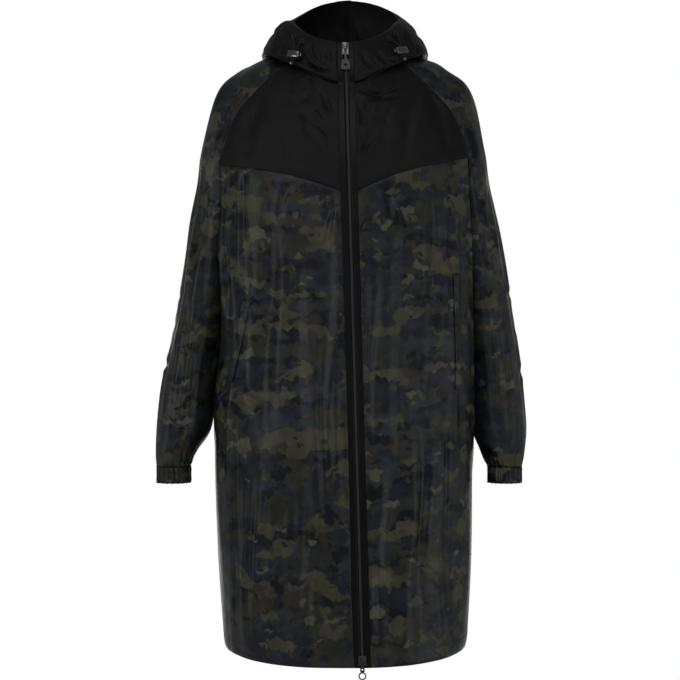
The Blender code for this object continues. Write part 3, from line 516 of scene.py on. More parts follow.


# creases, in millimetres: half width, depth and line. They are grouped by the panels that
# they cross and the side that they are looked at from. From the front a place is (x, z) at y = 0 as the
# camera sees it, from the back it is (x, z), and from a side (y, z).
creasePlan = {
    ("hood", "front"): [
        (9.1, 7.4, (-129, 16), (-113, 25), (-91, 22), (-70, 3), (-46, -13), (-23, -22)),
        (6.5, 5.4, (-123, 3), (-101, 3), (-76, -9)),
        (6.5, 6.1, (-65, -3), (-41, -16), (-13, -22)),
        (5.9, 4.7, (-55, 25), (-49, 6), (-35, -9), (-16, -16)),
        (5.5, 4.1, (-30, 28), (-26, 9), (-16, -6)),
        (9.1, 8.1, (112, -3), (93, -13), (68, -17), (31, -31)),
        (6.5, 5.4, (109, 3), (87, 0), (60, 3)),
        (5.9, 5.1, (27, 16), (34, -3), (49, -19)),
        (6.5, 4.3, (49, 22), (59, 3), (77, -9)),
        (7.8, 8.1, (112, 50), (115, 23), (112, -3)),
        (6.5, 5.4, (124, 41), (129, 19), (126, 0)),
        (7.8, 5.4, (-116, 38), (-107, 22), (-113, 3)),
        (6.5, 4.3, (-93, 47), (-82, 31), (-85, 13)),
        (6.5, 4.1, (93, 47), (98, 28), (105, 9)),
    ],
    ("yoke", "front"): [
        (12, 5.2, (-108, -50), (-78, -70), (-45, -97), (-12, -130)),
        (8, 4, (-62, -64), (-43, -84), (-26, -110)),
        (12, 4.6, (104, -24), (71, -44), (41, -64), (26, -100), (20, -140)),
        (7.8, 4.6, (-93, -39), (-74, -58), (-54, -62)),
        (6.5, 3.9, (-38, -47), (-26, -69), (-12, -91)),
        (9.1, 3, (-70, -81), (-51, -113), (-29, -144)),
        (7.8, 5.5, (51, -97), (35, -131), (23, -156)),
        (7.8, 5.2, (29, -42), (51, -58), (82, -55), (102, -44)),
        (6.5, 4.6, (13, -31), (26, -47), (59, -52), (88, -41)),
        (6.5, 3.7, (20, -62), (27, -88), (34, -109)),
        (10.4, 3, (74, -75), (62, -103), (52, -134)),
        (14.3, 3.9, (-129, -55), (-148, -102), (-154, -153)),
        (14.3, 3.9, (137, -50), (152, -97), (159, -144)),
        (15.6, 2.5, (-101, -94), (-91, -133), (-85, -169)),
        (15.6, 2.5, (102, -78), (99, -117), (93, -156)),
    ],
    ("front", "front"): [
        (10, 5.6, (-157, -169), (-159, -250), (-152, -359)),
        (9, 4.4, (-184, -180), (-187, -281), (-180, -422)),
        (16, 5, (-120, -203), (-113, -328), (-126, -500), (-120, -609)),
        (18, 5.6, (-70, -266), (-76, -422), (-66, -625), (-70, -844)),
        (13, 4.4, (-30, -242), (-24, -375), (-35, -531), (-29, -719)),
        (15, 5.6, (-145, -562), (-148, -688), (-152, -844), (-148, -930)),
        (10, 5, (-173, -531), (-174, -688), (-170, -844), (-166, -930)),
        (14, 5, (-96, -688), (-101, -812), (-95, -938)),
        (12, 4.4, (-41, -750), (-45, -844), (-37, -944)),
        (9, 3.1, (-10, -422), (-13, -562), (-5, -719), (-1, -875)),
        (8, 4, (-148, -369), (-129, -394), (-101, -409)),
        (8, 3.5, (-166, -509), (-148, -528), (-120, -537)),
        (10, 3.7, (-85, -188), (-96, -219), (-101, -258)),
        (8, 3.7, (-15, -213), (-23, -250), (-35, -297)),
        (7, 6.3, (163, -164), (165, -266), (166, -375)),
        (12, 5, (138, -172), (143, -281), (137, -422)),
        (16, 5, (87, -195), (93, -344), (84, -531), (90, -641)),
        (13, 4.4, (43, -219), (48, -344), (37, -500), (43, -656)),
        (15, 5.6, (118, -516), (124, -656), (116, -812), (124, -930)),
        (10, 5.6, (159, -531), (162, -656), (159, -781), (165, -922)),
        (15, 5, (71, -656), (66, -781), (74, -938)),
        (10, 3.7, (43, -750), (49, -844), (46, -944)),
        (8, 4, (149, -344), (126, -369), (95, -375)),
        (8, 3.5, (165, -516), (140, -537), (110, -544)),
        (10, 3.7, (63, -191), (71, -227), (77, -273)),
        (7, 3.7, (184, -188), (185, -312), (182, -469), (185, -625)),
    ],
    ("sleeve", "front"): [
        (12, 4, (-163, -55), (-191, -109), (-209, -188), (-216, -281)),
        (10, 4, (-216, -141), (-227, -250), (-241, -375)),
        (10, 4, (-213, -219), (-220, -344), (-231, -453), (-239, -562)),
        (9, 3.5, (-245, -375), (-255, -484), (-265, -594)),
        (7, 3.5, (-260, -403), (-241, -422), (-216, -422)),
        (7, 3, (-263, -445), (-245, -456), (-221, -453)),
        (7, 3, (-273, -508), (-252, -522), (-229, -516)),
        (12, 4, (168, -55), (190, -109), (207, -188), (215, -281)),
        (10, 4, (218, -141), (229, -250), (243, -375)),
        (10, 4, (211, -219), (220, -344), (229, -453), (238, -562)),
        (9, 3.5, (246, -375), (256, -484), (265, -594)),
        (7, 3.5, (259, -400), (240, -419), (216, -422)),
        (7, 3, (262, -447), (243, -459), (221, -453)),
        (7, 3, (268, -506), (249, -522), (227, -519)),
    ],
    ("sleeve", "left"): [
        (12, 4, (-30, -100), (-36, -250), (-29, -400), (-35, -560)),
        (12, 4, (21, -80), (26, -220), (18, -380)),
        (11, 3.5, (50, -160), (44, -300), (41, -460), (28, -580)),
        (8, 3.6, (-52, -355), (-22, -374), (12, -365)),
        (8, 3, (46, -398), (20, -416), (-10, -410)),
        (7, 3, (-46, -458), (-20, -476), (8, -470)),
        (7, 2.8, (32, -518), (10, -536), (-20, -528)),
    ],
    ("sleeve", "right"): [
        (12, 4, (-26, -110), (-34, -270), (-25, -440), (-33, -570)),
        (12, 3.8, (18, -70), (28, -200), (22, -350)),
        (11, 3.6, (52, -180), (46, -330), (38, -480), (30, -590)),
        (8, 3.4, (-50, -345), (-24, -366), (10, -360)),
        (8, 3.2, (48, -410), (18, -424), (-12, -415)),
        (7, 3, (-44, -470), (-18, -486), (10, -482)),
        (7, 2.6, (30, -530), (12, -545), (-18, -540)),
    ],
    ("sleeve", "back"): [
        (12, 4, (-190, -140), (-205, -280), (-220, -420), (-245, -560)),
        (12, 4, (190, -150), (205, -290), (220, -430), (240, -570)),
        (8, 3.4, (-238, -352), (-220, -370), (-200, -366)),
        (8, 3.4, (238, -360), (218, -378), (198, -372)),
    ],
    ("back", "back"): [
        (13, 4, (-150, -220), (-156, -400), (-148, -620)),
        (17, 4.5, (-100, -140), (-94, -320), (-106, -500), (-100, -700)),
        (16, 4, (-45, -300), (-51, -520), (-40, -800)),
        (14, 3, (10, -180), (4, -360), (13, -560)),
        (16, 4, (55, -340), (61, -580), (51, -860)),
        (17, 4.5, (105, -150), (111, -360), (100, -600)),
        (13, 4, (150, -240), (156, -480), (150, -740)),
        (13, 4, (-130, -600), (-136, -760), (-128, -920)),
        (13, 3.5, (-75, -660), (-69, -800), (-78, -920)),
        (14, 3.5, (25, -660), (19, -800), (28, -920)),
        (14, 4, (90, -700), (96, -820), (89, -920)),
        (10, 3, (165, -560), (164, -740), (168, -900)),
        (10, 3, (-170, -500), (-172, -700), (-169, -880)),
        (12, 3.2, (-140, -100), (-110, -150), (-70, -180)),
        (12, 3.2, (140, -100), (110, -155), (70, -190)),
        (14, 3.4, (-90, -100), (-30, -125), (30, -122), (90, -100)),
    ],
    ("hood", "back"): [
        (10, 4.5, (-100, 20), (-50, -10), (2, -20), (50, -12), (100, 18)),
        (10, 4, (-110, -10), (-60, -40), (0, -50), (50, -44)),
        (8, 3.5, (30, 60), (36, 10), (60, -30)),
        (8, 3.5, (-40, 70), (-30, 20), (-52, -30)),
        (7, 7, (22, 88), (30, 62), (40, 34)),
        (6, 6.5, (38, 84), (47, 60), (51, 36)),
        (10, 4.5, (-58, 78), (-36, 60), (-30, 34)),
        (9, 4, (-20, 80), (-4, 58), (-12, 32)),
    ],
    ("hood", "left"): [
        (9, 4.5, (-40, 50), (0, 40), (50, 50)),
        (8, 4, (-30, 20), (20, 10), (70, 12)),
    ],
    ("hood", "right"): [
        (9, 4.5, (-35, 55), (5, 42), (55, 48)),
        (8, 4, (-30, 18), (15, 6), (65, 10)),
    ],
}
creaseFit = {"step": 0.005, "perSpan": 24, "fewest": 4,
             "facing": 0.35}  # a crease stops where the cloth turns away from the eye


def onSurface(seenFrom, place, names):
    a, z = place
    eye = Vector(cameraPlan["target"]) - Vector((0, cameraPlan["distance"], 0))
    start, way = {"front": (eye, Vector((a, 0, z)) - eye), "back": (Vector((a, 1, z)), Vector((0, -1, 0))),
                  "left": (Vector((-1, a, z)), Vector((1, 0, 0))),
                  "right": (Vector((1, a, z)), Vector((-1, 0, 0)))}[seenFrom]
    way.normalize()
    hits = [trees[name].ray_cast(start, way) for name in names]
    hits = [hit for hit in hits if hit[0]]
    hit = min(hits, key=lambda hit: hit[3]) if hits else None
    return hit[0] if hit and abs(hit[1].dot(way)) > creaseFit["facing"] else None


def creaseLines(plan):
    lines = []
    for (family, seenFrom), rows in plan.items():
        names = [n for n in skinNames if familyOf(n) == family]
        for halfWidth, depth, *places in rows:
            rough = smoothPath([(a / 1000, 0, z / 1000) for a, z in places], creaseFit["perSpan"])
            path = [p for p in (onSurface(seenFrom, (q.x, q.z), names) for q in rough) if p]
            kept = path[:1]
            for p in path[1:]:
                if (p - kept[-1]).length > creaseFit["step"]:
                    kept.append(p)
            if len(kept) >= creaseFit["fewest"]:
                lines.append((family, halfWidth / 1000, depth / 1000, np.array([tuple(p) for p in kept])))
    return lines


def alongPath(points, path):
    # how far each point is from a line of places, and how far along the line that is, from 0 to 1
    way = path[1:] - path[:-1]
    off = points[:, None] - path[:-1]
    part = np.clip((off * way).sum(2) / (way**2).sum(1), 0, 1)
    far = np.linalg.norm(off - part[..., None] * way, axis=2)
    nearest = far.argmin(1)
    rows = np.arange(len(points))
    return far[rows, nearest], (nearest + part[rows, nearest]) / len(way)


def creaseHeights(points, family, lines):
    # a trough between two low ridges, uneven in width and depth along its length
    total = np.zeros(len(points))
    for k, (crossed, halfWidth, depth, path) in enumerate(lines):
        if crossed != family:
            continue
        reach = 3 * halfWidth
        inside = np.flatnonzero(np.all((points > path.min(0) - reach) & (points < path.max(0) + reach), axis=1))
        for some in np.array_split(inside, max(1, len(inside) // 4000)):
            if not len(some):
                continue
            far, share = alongPath(points[some], path)
            q = far / halfWidth / (0.85 + 0.3 * np.sin(share * 5.3 + k))
            taper = np.sin(np.clip(share * 0.97 + 0.015, 0, 1) * math.pi) ** 0.85
            uneven = 0.8 + 0.25 * np.sin(share * 9 + 2 * k)
            total[some] -= depth * (1 - q**2) * np.exp(-q**2 / 1.3) * taper * uneven
    return total


def swells(points, scale, height):
    sx, sy, sz = scale
    return height * np.array([noise.noise(Vector((x * sx, y * sy + 3, z * sz))) for x, y, z in points])


roomPlan = {"tight": 0.003, "loose": 0.024, "facing": -0.2}


def roomAround(points, normals, own):
    # how free each point is to move, from 0 where another panel faces it closely to 1, and the gap
    room, gap = np.ones(len(points)), np.ones(len(points))
    others = [trees[n] for n in skinNames if familyOf(n) != familyOf(own)]
    tight, loose = roomPlan["tight"], roomPlan["loose"]
    for k, (p, n) in enumerate(zip(points, normals)):
        for tree in others:
            _, facing, _, far = tree.find_nearest(p, loose)
            if facing is not None and facing.dot(n) < roomPlan["facing"]:
                room[k] = min(room[k], max(0.0, (far - tight) / (loose - tight)))
                gap[k] = min(gap[k], far)
    return room, gap


def angleAbout(points, node):
    x, y = hubs[node]
    return np.arctan2(points[:, 1] - y, points[:, 0] - x)


gatherPlan = {"count": 22, "depth": 0.0036, "reach": 0.052, "top": -0.6325, "calm": 0.006, "least": 0.35}


def gathers(points, node):
    # gathers that fan up the sleeve from its cuff, uneven in length and spacing
    angle = angleAbout(points, "cuff" + node[6:])
    length = gatherPlan["reach"] * (0.7 + 0.3 * np.sin(5 * angle + 2) + 0.2 * np.sin(11 * angle))
    fade = np.clip(1 - (points[:, 2] - gatherPlan["top"]) / length, 0, 1) ** 1.4
    wave = np.cos(gatherPlan["count"] * angle + 1.1 * np.sin(3 * angle) + 0.8 * np.sin(7 * angle + 1))
    return -gatherPlan["depth"] * (0.5 + 0.5 * wave) ** 1.5 * fade


# family: its cloth, and the height and closeness of the slow swells
familyPlan = {
    "hood": ("blackCloth", 0.0024, (17, 17, 13)),
    "yoke": ("blackCloth", 0.0012, (18, 18, 12)),
    "sleeve": ("printedCloth", 0.0030, (15, 15, 7)),
    "front": ("printedCloth", 0.0030, (14, 14, 4)),
    "back": ("printedCloth", 0.0034, (12, 12, 3.4)),
}
# name: solid, size of the flat cut and the area of it that shows, how it is held and what it rests on
panelPlan = {
    "hoodLeft": ("hood_left", (0.42, 0.47), 0.082, "draped", ["yokeLeft"]),
    "hoodRight": ("hood_right", (0.42, 0.47), 0.082, "draped", ["yokeRight"]),
    "yokeLeft": ("yoke_left", (0.195, 0.215), 0.028, "hung", ["sleeveLeft"]),
    "yokeRight": ("yoke_right", (0.185, 0.215), 0.027, "hung", ["sleeveRight"]),
    "sleeveLeft": ("sleeve_left", (0.37, 0.735), 0.20, "hung", ["yokeLeft"]),
    "sleeveRight": ("sleeve_right", (0.37, 0.735), 0.20, "hung", ["yokeRight"]),
    "frontLeft": ("front_left", (0.30, 0.76), 0.215, "hung", ["yokeLeft"]),
    "frontRight": ("front_right", (0.28, 0.76), 0.195, "hung", ["yokeRight"]),
    "backPanel": ("back", (0.62, 0.95), 0.52, "hung", ["sleeveLeft", "sleeveRight"]),
}
# where each family was cut from the printed cloth, which goes the other way on the left
placeShifts = {"back": (0.31, 0.7, 0.13), "sleeve": (0.9, 0.2, 0.41), "cuff": (0.5, 0.6, 0.27)}
groovePlan = {"depth": 0.0007, "wide": 0.0045, "calm": 0.014, "least": 0.3, "nearZip": 0.018, "nearBack": 0.012}
ripplePlan = {"blackCloth": ((46, 46, 30), 0.0008), "printedCloth": ((34, 34, 5.0), 0.0030)}
creases = creaseLines(creasePlan)
panels = {}


def startCloth(name, node):
    data = divided(outerSkin(node), name, shellPlan["levels"])
    points, normals = coordinates(data)
    edge, _, ways, marks = edgeOf(data)
    return {"data": data, "points": points, "normals": normals, "edge": edge, "ways": ways,
            "seam": distanceTo(points, marks)}


def shellObject(name, data, finish, thickness):
    data.materials.clear()
    data.materials.append(finishes[finish])
    data.shade_smooth()
    # inside the hood goes the lighter copy of the black cloth, whose colour is painted light
    inside = {"printedCloth": "innerCloth"}.get(finish, "hoodInsidePaintedLight" if name.startswith("hood") else None)
    if inside:
        data.materials.append(finishes[inside])
    shell = linked(name, data)
    solid = shell.modifiers.new("thickness", "SOLIDIFY")
    solid.thickness = thickness
    solid.offset = -1
    solid.material_offset = len(data.materials) - 1
    return shell


def finishCloth(name, node, finish, cloth, height, thickness, reach=0.0):
    data, points = cloth["data"], cloth["points"]
    side = 1 if "right" in node else -1
    store(data, "seamDistance", cloth["seam"])
    shift = placeShifts.get(familyOf(node), (0, 0, 0))
    store(data, "clothPlace", points + side * np.array(shift), "FLOAT_VECTOR")
    moved = points + cloth["normals"] * height[:, None]
    moved[cloth["edge"]] += cloth["ways"] * reach
    moveTo(data, moved)
    panels[name] = shellObject(name, data, finish, thickness)
    return declared(panels[name], jacket, node)


def makePanel(name, node, flat, area, held, restsOn):
    family = familyOf(node)
    finish, swell, swellScale = familyPlan[family]
    cloth = startCloth(name, node)
    points, seam = cloth["points"], cloth["seam"]
    height = creaseHeights(points, family, creases)
    height += swells(points, swellScale, swell) + swells(points, *ripplePlan[finish])
    room, gap = roomAround(points, cloth["normals"], node)
    height *= room * np.clip(seam / groovePlan["calm"], groovePlan["least"], 1)
    height += np.minimum(shellPlan["lean"] * gap, shellPlan["leanMost"]) * (1 - room)
    if family == "sleeve":
        height += gathers(points, node) * np.clip(seam / gatherPlan["calm"], gatherPlan["least"], 1)
    # the hood's back seam and the yokes' edges by the zip lie flat, and every other seam in a groove
    nearZip = (abs(points[:, 0] - zipX(points[:, 2])) < groovePlan["nearZip"]) & (points[:, 1] < 0)
    nearBack = (abs(points[:, 0]) < groovePlan["nearBack"]) & (points[:, 1] > 0)
    flatSeam = nearZip if family == "yoke" else nearBack & (family == "hood")
    height -= np.where(flatSeam, 0, groovePlan["depth"]) * np.clip(1 - seam / groovePlan["wide"], 0, 1)
    panel = finishCloth(name, node, finish, cloth, height, shellPlan["thickness"], shellPlan["reach"])
    print(name, len(points), "points", round(float(sum(p.area for p in panel.data.polygons)), 4), "square metres")


for name, row in panelPlan.items():
    makePanel(name, *row)
print("panels made")


cuffPlan = {"flat": (0.25, 0.027), "gathers": 41, "depth": 0.0007, "calm": 0.004, "least": 0.3,
            "roll": 0.0016, "rollWide": 0.006}


def makeCuff(side):
    name, node = "cuff" + side.capitalize(), "cuff_" + side
    cloth = startCloth(name, node)
    angle = angleAbout(cloth["points"], node)
    wave = np.cos(cuffPlan["gathers"] * angle + 1.4 * np.sin(4 * angle))
    wave *= np.clip(cloth["seam"] / cuffPlan["calm"], cuffPlan["least"], 1)
    roll = cuffPlan["roll"] * np.clip(1 - cloth["seam"] / cuffPlan["rollWide"], 0, 1) ** 2
    cuff = finishCloth(name, node, "printedCloth", cloth, cuffPlan["depth"] * wave - roll, shellPlan["thickness"])


makeCuff("left")
makeCuff("right")
print("cuffs made")


# pocket welts, whose edges roll down to the front
weltPlan = {"flats": {"left": (0.013, 0.13), "right": (0.013, 0.18)}, "thickness": 0.0008,
            "sink": 0.0005, "roll": 0.0006, "rollWide": 0.0022}


def makeWelt(side):
    name, node = "pocket" + side.capitalize(), "pocket_" + side
    cloth = startCloth(name, node)
    roll = weltPlan["roll"] * np.clip(1 - cloth["seam"] / weltPlan["rollWide"], 0, 1) ** 1.5
    welt = finishCloth(name, node, "printedCloth", cloth, -weltPlan["sink"] - roll, weltPlan["thickness"])


for side, flat in weltPlan["flats"].items():
    makeWelt(side)
print("pockets made")


# stitches: small capsules a little inside the edges of the panels
stitchPlan = {"pitch": 0.0031, "length": 0.0024, "radius": 0.00024, "segments": 6, "rings": 5, "lift": 0.00008,
              "link": 0.012, "fewest": 4,
              # how far in from a seam, the hood's mouth, the hem and a welt's edge
              "seam": 0.0035, "mouth": 0.0270, "hem": 0.0200, "welt": 0.0022}
# which parts of the edges are sewn
partPlan = {"zipWide": 0.017, "hemBelow": -0.88, "capeAbove": -0.19, "backSeam": 0.010,
            "mouthAbove": 0.014, "mouthRise": 0.12, "mouthFront": -0.05}


def stitchRuns(places, ways, inset, keep):
    # lines of points inside the kept part of an edge, each in order
    spots = {k: Vector(p) - Vector(w) * inset for k, (p, w) in enumerate(zip(places, ways)) if keep(*p)}
    runs = []
    while spots:
        k = next(iter(spots))
        run = [spots.pop(k)]
        for end in (-1, 0):
            while spots:
                near = min(spots, key=lambda n: (spots[n] - run[end]).length_squared)
                if (spots[near] - run[end]).length > stitchPlan["link"]:
                    break
                run.insert(len(run) if end else 0, spots.pop(near))
        if len(run) >= stitchPlan["fewest"]:
            runs.append(run)
    return runs


def evenly(run, pitch):
    rows = np.array([tuple(p) for p in run])
    along = np.concatenate([[0], np.cumsum(np.linalg.norm(np.diff(rows, axis=0), axis=1))])
    at = np.arange(pitch / 2, along[-1], pitch)
    return np.stack([np.interp(at, along, rows[:, k]) for k in range(3)], axis=1)


def capsule(plan):
    mesh = bmesh.new()
    bmesh.ops.create_uvsphere(mesh, u_segments=plan["segments"], v_segments=plan["rings"], radius=1)
    bmesh.ops.scale(mesh, verts=mesh.verts, vec=(plan["radius"], plan["radius"], plan["length"] / 2))
    return asMesh(mesh, "capsule")


def sewn(name, tasks):
    # tasks: panel, inset from its edge, and which part of the edge
    one = capsule(stitchPlan)
    shape, _ = coordinates(one)
    faces = [tuple(p.vertices) for p in one.polygons]
    everyPoint, everyFace = [], []
    for panelName, edge, keep in tasks:
        data = panels[panelName].data
        surface = surfaceOf(data)
        _, places, ways, _ = edgeOf(data)
        for run in stitchRuns(places, ways, stitchPlan[edge], keep):
            spots = evenly(run, stitchPlan["pitch"])
            for k in range(len(spots) - 1):
                place, normal, _, _ = surface.find_nearest(Vector(spots[k]))
                along = Vector(spots[k + 1]) - Vector(spots[k])
                along = (along - normal * along.dot(normal)).normalized()
                turn = np.array([along.cross(normal), normal, along])
                first = sum(len(p) for p in everyPoint)
                everyPoint.append(shape @ turn + np.array(place + normal * stitchPlan["lift"]))
                everyFace += [tuple(i + first for i in face) for face in faces]
    bpy.data.meshes.remove(one)
    data = bpy.data.meshes.new(name)
    data.from_pydata(np.concatenate(everyPoint).tolist(), [], everyFace)
    data.materials.append(finishes["thread"])
    data.shade_smooth()
    declared(linked(name, data), jacket)
    print(name, len(everyPoint), "stitches")


def anywhere(x, y, z):
    return True


def byZip(x, y, z):
    return abs(x - zipX(z)) < partPlan["zipWide"] and y < 0


def atHem(x, y, z):
    return z < partPlan["hemBelow"] and not byZip(x, y, z)


def onMouth(x, y, z):
    # the mouth's edge climbs towards the front, and the hood's two halves join at the back
    high = z > partPlan["mouthAbove"] - partPlan["mouthRise"] * min(0, y - partPlan["mouthFront"])
    return high and not byZip(x, y, z) and not (abs(x) < partPlan["backSeam"] and y > 0)


def onCape(x, y, z):
    return z > partPlan["capeAbove"] and not byZip(x, y, z)


sewn("yokeStitching", [("yokeLeft", "seam", anywhere), ("yokeRight", "seam", anywhere)])
sewn("hoodStitching", [("hoodLeft", "mouth", onMouth), ("hoodRight", "mouth", onMouth),
                       ("hoodLeft", "seam", byZip), ("hoodRight", "seam", byZip)])
sewn("bodyStitching", [("frontLeft", "seam", byZip), ("frontRight", "seam", byZip),
                       ("frontLeft", "hem", atHem), ("frontRight", "hem", atHem),
                       ("backPanel", "hem", atHem), ("backPanel", "seam", onCape)])
sewn("pocketStitching", [("pocketLeft", "welt", anywhere), ("pocketRight", "welt", anywhere)])
print("stitches made")


# zip strips, whose lips meet over the teeth
stripPlan = {"columns": 4, "levels": 3, "thickness": 0.0010, "flat": (0.0125, 0.945), "lipWide": 0.0015,
             "acrossLeast": 0.008,  # edges longer than this run across the strip
             # distance from the zip's line, height of the strip's face, and how much of the painted highlight on the
             # lip it takes
             "profile": [(0.0000, 0.0001, 1), (0.0006, 0.0005, 1), (0.0013, 0.0005, 1), (0.0017, -0.0004, 0),
                         (0.0024, -0.0012, 0), (0.0032, -0.0005, 0), (0.0042, 0.0, 0), (0.0125, 0.0, 0)]}


def makeStrip(side):
    name = "zipStrip" + side.capitalize()
    skin = outerSkin("zip_tape_" + side)
    cross = [e for e in skin.edges if abs(e.verts[0].co.x - e.verts[1].co.x) > stripPlan["acrossLeast"]]
    bmesh.ops.subdivide_edges(skin, edges=cross, cuts=stripPlan["columns"] - 1, use_grid_fill=True)
    data = divided(skin, name, stripPlan["levels"])
    points, normals = coordinates(data)
    away = np.abs(points[:, 0] - zipX(points[:, 2]))
    steps, heights, lips = zip(*stripPlan["profile"])
    numbers, _, ways, _ = edgeOf(data)
    outer = away[numbers] > stripPlan["lipWide"]
    points += normals * np.interp(away, steps, heights)[:, None]
    points[numbers[outer]] += ways[outer] * shellPlan["reach"]
    moveTo(data, points)
    # the lip's share is the mask of the painted highlight
    store(data, "lip", np.interp(away, steps, lips))
    strip = shellObject(name, data, "zipStrip", stripPlan["thickness"])
    declared(strip, jacket, "zip_tape_" + side)
    return strip


strips = {side: makeStrip(side) for side in ("left", "right")}
print("zip strips made")


# the teeth lock behind the strips and close the slit
teethPlan = {"pitch": 0.0022, "size": (0.0032, 0.0009, 0.0012), "shift": 0.0008, "behind": 0.0016,
             "fromZ": 0.010, "toZ": -0.919, "readAt": 0.0009}


def makeTeeth(plan):
    mesh = bmesh.new()
    surface = surfaceOf(strips["right"].data)
    size = Matrix.Diagonal((*plan["size"], 1))
    count = int((plan["fromZ"] - plan["toZ"]) / plan["pitch"] * 2)
    for k in range(count):
        z = plan["fromZ"] - k * plan["pitch"] / 2
        hit = surface.ray_cast(Vector((zipX(z) + plan["readAt"], -1, z)), Vector((0, 1, 0)))[0]
        if hit:
            place = Vector((zipX(z) + plan["shift"] * (-1) ** k, hit.y + plan["behind"], z))
            bmesh.ops.create_cube(mesh, size=1, matrix=Matrix.Translation(place) @ size)
    data = asMesh(mesh, "zipTeeth")
    data.materials.append(finishes["zipTeeth"])
    declared(linked("zipTeeth", data), jacket)


makeTeeth(teethPlan)
print("zip teeth made")


# hard parts: merged copies of their solids with rounded edges. Name: solid, body, finish, slot and bevel
hardPlan = {
    "sliderTop": ("slider_top", jacket, "zipMetal", "zip_metal", 0.00025),
    "sliderBottom": ("slider_bottom", jacket, "pullMetal", "zip_metal", 0.00025),
    "pullTop": ("pull_top", "top_pull", "pullMetal", "zip_metal", 0.00030),
    "pullBottom": ("pull_bottom", "bottom_pull", "pullMetal", "zip_metal", 0.00020),
    "lockLeft": ("cord_lock_left", jacket, "lockPlastic", "lock_plastic", 0.0004),
    "lockRight": ("cord_lock_right", jacket, "lockPlastic", "lock_plastic", 0.0004),
    "buttonLeft": ("lock_button_left", jacket, "lockPlastic", "lock_plastic", 0.0003),
    "buttonRight": ("lock_button_right", jacket, "lockPlastic", "lock_plastic", 0.0003),
}
edgePlan = {"merge": 5e-6, "flatAngle": 1, "sharpAngle": 50, "bevelAngle": 40, "segments": 2}


def makeHard(name, node, body, finish, slot, bevel):
    mesh = mergedCopy(node, edgePlan["merge"])
    bmesh.ops.dissolve_limit(mesh, angle_limit=math.radians(edgePlan["flatAngle"]),
                             verts=mesh.verts, edges=mesh.edges)
    data = asMesh(mesh, name)
    data.materials.append(finishes[finish])
    data.shade_smooth()
    data.set_sharp_from_angle(angle=math.radians(edgePlan["sharpAngle"]))
    part = linked(name, data)
    rounding = part.modifiers.new("rounding", "BEVEL")
    rounding.width = bevel
    rounding.segments = edgePlan["segments"]
    rounding.limit_method = "ANGLE"
    rounding.angle_limit = math.radians(edgePlan["bevelAngle"])
    rounding.use_clamp_overlap = True
    declared(part, body, node)


for name, row in hardPlan.items():
    makeHard(name, *row)
for side in ("left", "right"):
    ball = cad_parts["cord_ball_" + side].data
    ball.materials.clear()
    ball.materials.append(finishes["lockPlastic"])


# the ring at the end of the lower pull
ringPlan = {"centre": (0.0262, -0.1594, -0.9352), "radius": 0.0050, "wire": 0.0010, "around": 12, "steps": 40}


def makeRing(plan):
    mesh = bmesh.new()
    bmesh.ops.create_circle(mesh, segments=plan["around"], radius=plan["wire"],
                            matrix=Matrix.Translation((plan["radius"], 0, 0)))
    bmesh.ops.spin(mesh, geom=mesh.verts[:] + mesh.edges[:], cent=(0, 0, 0), axis=(0, 1, 0),
                   angle=2 * math.pi, steps=plan["steps"], use_merge=True)
    bmesh.ops.remove_doubles(mesh, verts=mesh.verts, dist=1e-6)
    bmesh.ops.recalc_face_normals(mesh, faces=mesh.faces)
    bmesh.ops.translate(mesh, verts=mesh.verts, vec=plan["centre"])
    data = asMesh(mesh, "pullRing")
    data.materials.append(finishes["pullMetal"])
    data.shade_smooth()
    declared(linked("pullRing", data), "bottom_pull")


makeRing(ringPlan)


eyeletPlan = {"joinAngle": 60, "levels": 2}


def makeEyelet(side, strand):
    node = f"eyelet_{side}_{strand}"
    name = "eyelet" + side.capitalize() + strand.capitalize()
    mesh = mergedCopy(node, edgePlan["merge"])
    makeQuads(mesh, eyeletPlan["joinAngle"])
    data = divided(mesh, name, eyeletPlan["levels"])
    data.materials.clear()
    data.materials.append(finishes["pullMetal"])
    data.shade_smooth()
    declared(linked(name, data), jacket, node)


for side, strand in cordPlan["routes"]:
    makeEyelet(side, strand)
print("hard parts made")


# floor, lights and background
studioPlan = {"floorZ": -1.42, "floorRadius": 2.4, "floorSides": 128, "floorGrey": (0.82, 0.82, 0.82, 1),
              "fadeFrom": 0.9, "fadeTo": 2.3,
              "ambient": 0.32, "ambientColour": (0.97, 0.985, 1.0, 1), "background": 1.0}


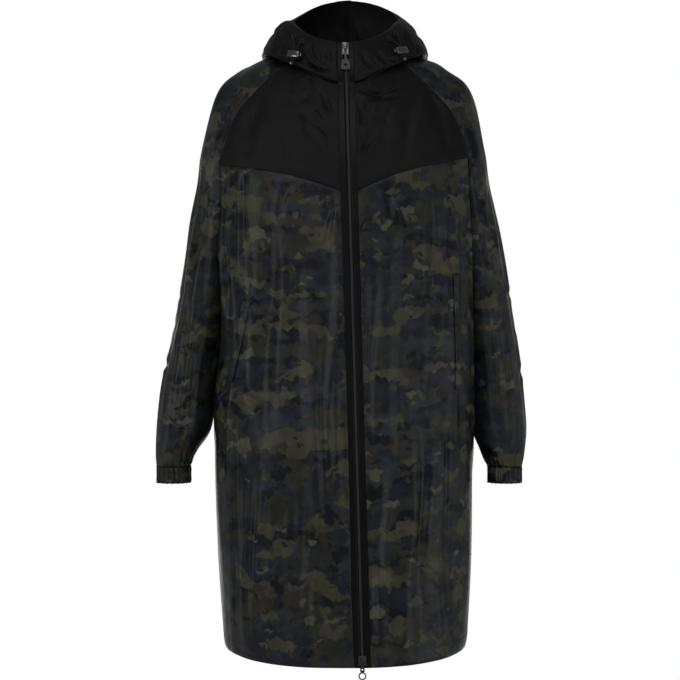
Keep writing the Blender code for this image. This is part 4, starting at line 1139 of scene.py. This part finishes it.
def makeFloor(plan):
    mesh = bmesh.new()
    bmesh.ops.create_circle(mesh, cap_ends=True, radius=plan["floorRadius"], segments=plan["floorSides"],
                            matrix=Matrix.Translation((0, 0, plan["floorZ"])))
    data = asMesh(mesh, "floor")
    material, tree, shader = startMaterial("floor")
    feed(tree, shader, {"Base Color": plan["floorGrey"], "Roughness": 0.8})
    # the floor's far edge fades into the white background
    x, y, _ = addNode(tree, "ShaderNodeSeparateXYZ", {"Vector": objectPlace(tree)}).outputs
    level = addNode(tree, "ShaderNodeCombineXYZ", {"X": x, "Y": y}).outputs[0]
    far = addNode(tree, "ShaderNodeVectorMath", {0: level}, operation="LENGTH").outputs["Value"]
    fade = ranged(tree, far, plan["fadeFrom"], plan["fadeTo"], kind="SMOOTHSTEP")
    glow = addNode(tree, "ShaderNodeEmission", {"Strength": 1.0}).outputs[0]
    mixed = addNode(tree, "ShaderNodeMixShader", {"Fac": fade, 1: shader.outputs[0], 2: glow}).outputs[0]
    feed(tree, tree.nodes["Material Output"], {"Surface": mixed})
    data.materials.append(material)
    linked("floor", data)


# name: place, size, power, and what it is turned to
lightPlan = {
    "key": ((-2.1, -2.3, 0.2), (0.6, 1.5), 42, (0, 0, -0.60)),
    "fill": ((2.2, -2.2, -0.9), (0.5, 1.6), 38, (0, 0, -0.85)),
    "front": ((0.0, -3.1, 1.3), (1.6, 1.0), 42, (0, 0, -0.40)),
    "leftStrip": ((-2.4, 0.2, -0.4), (0.5, 2.0), 8, (0, 0, -0.50)),
    "rightStrip": ((2.4, 0.2, -0.4), (0.5, 2.0), 8, (0, 0, -0.50)),
    "top": ((-0.3, -1.2, 2.2), (1.0, 1.0), 14, (0, 0, -0.2)),
    "rear": ((0.0, 3.4, -0.5), (3.2, 1.8), 30, (0, 0, -0.5)),
}


def makeLight(name, place, size, power, target):
    data = bpy.data.lights.new(name, "AREA")
    data.shape = "RECTANGLE"
    data.size, data.size_y = size
    data.energy = power
    light = linked(name, data)
    light.location = place
    light.rotation_euler = (Vector(target) - Vector(place)).to_track_quat("-Z", "Y").to_euler()


def makeBackground(plan):
    world = bpy.data.worlds.new("studio")
    bpy.context.scene.world = world
    world.use_nodes = True
    tree = world.node_tree
    soft = tree.nodes["Background"]
    feed(tree, soft, {"Color": plan["ambientColour"], "Strength": plan["ambient"]})
    white = addNode(tree, "ShaderNodeBackground", {"Color": (1, 1, 1, 1), "Strength": plan["background"]})
    seen = addNode(tree, "ShaderNodeLightPath").outputs["Is Camera Ray"]
    mixed = addNode(tree, "ShaderNodeMixShader", {"Fac": seen, 1: soft.outputs[0], 2: white.outputs[0]})
    feed(tree, tree.nodes["World Output"], {"Surface": mixed.outputs[0]})


makeFloor(studioPlan)
for name, row in lightPlan.items():
    makeLight(name, *row)
makeBackground(studioPlan)
bpy.context.scene.view_settings.view_transform = "Standard"
print("studio made")
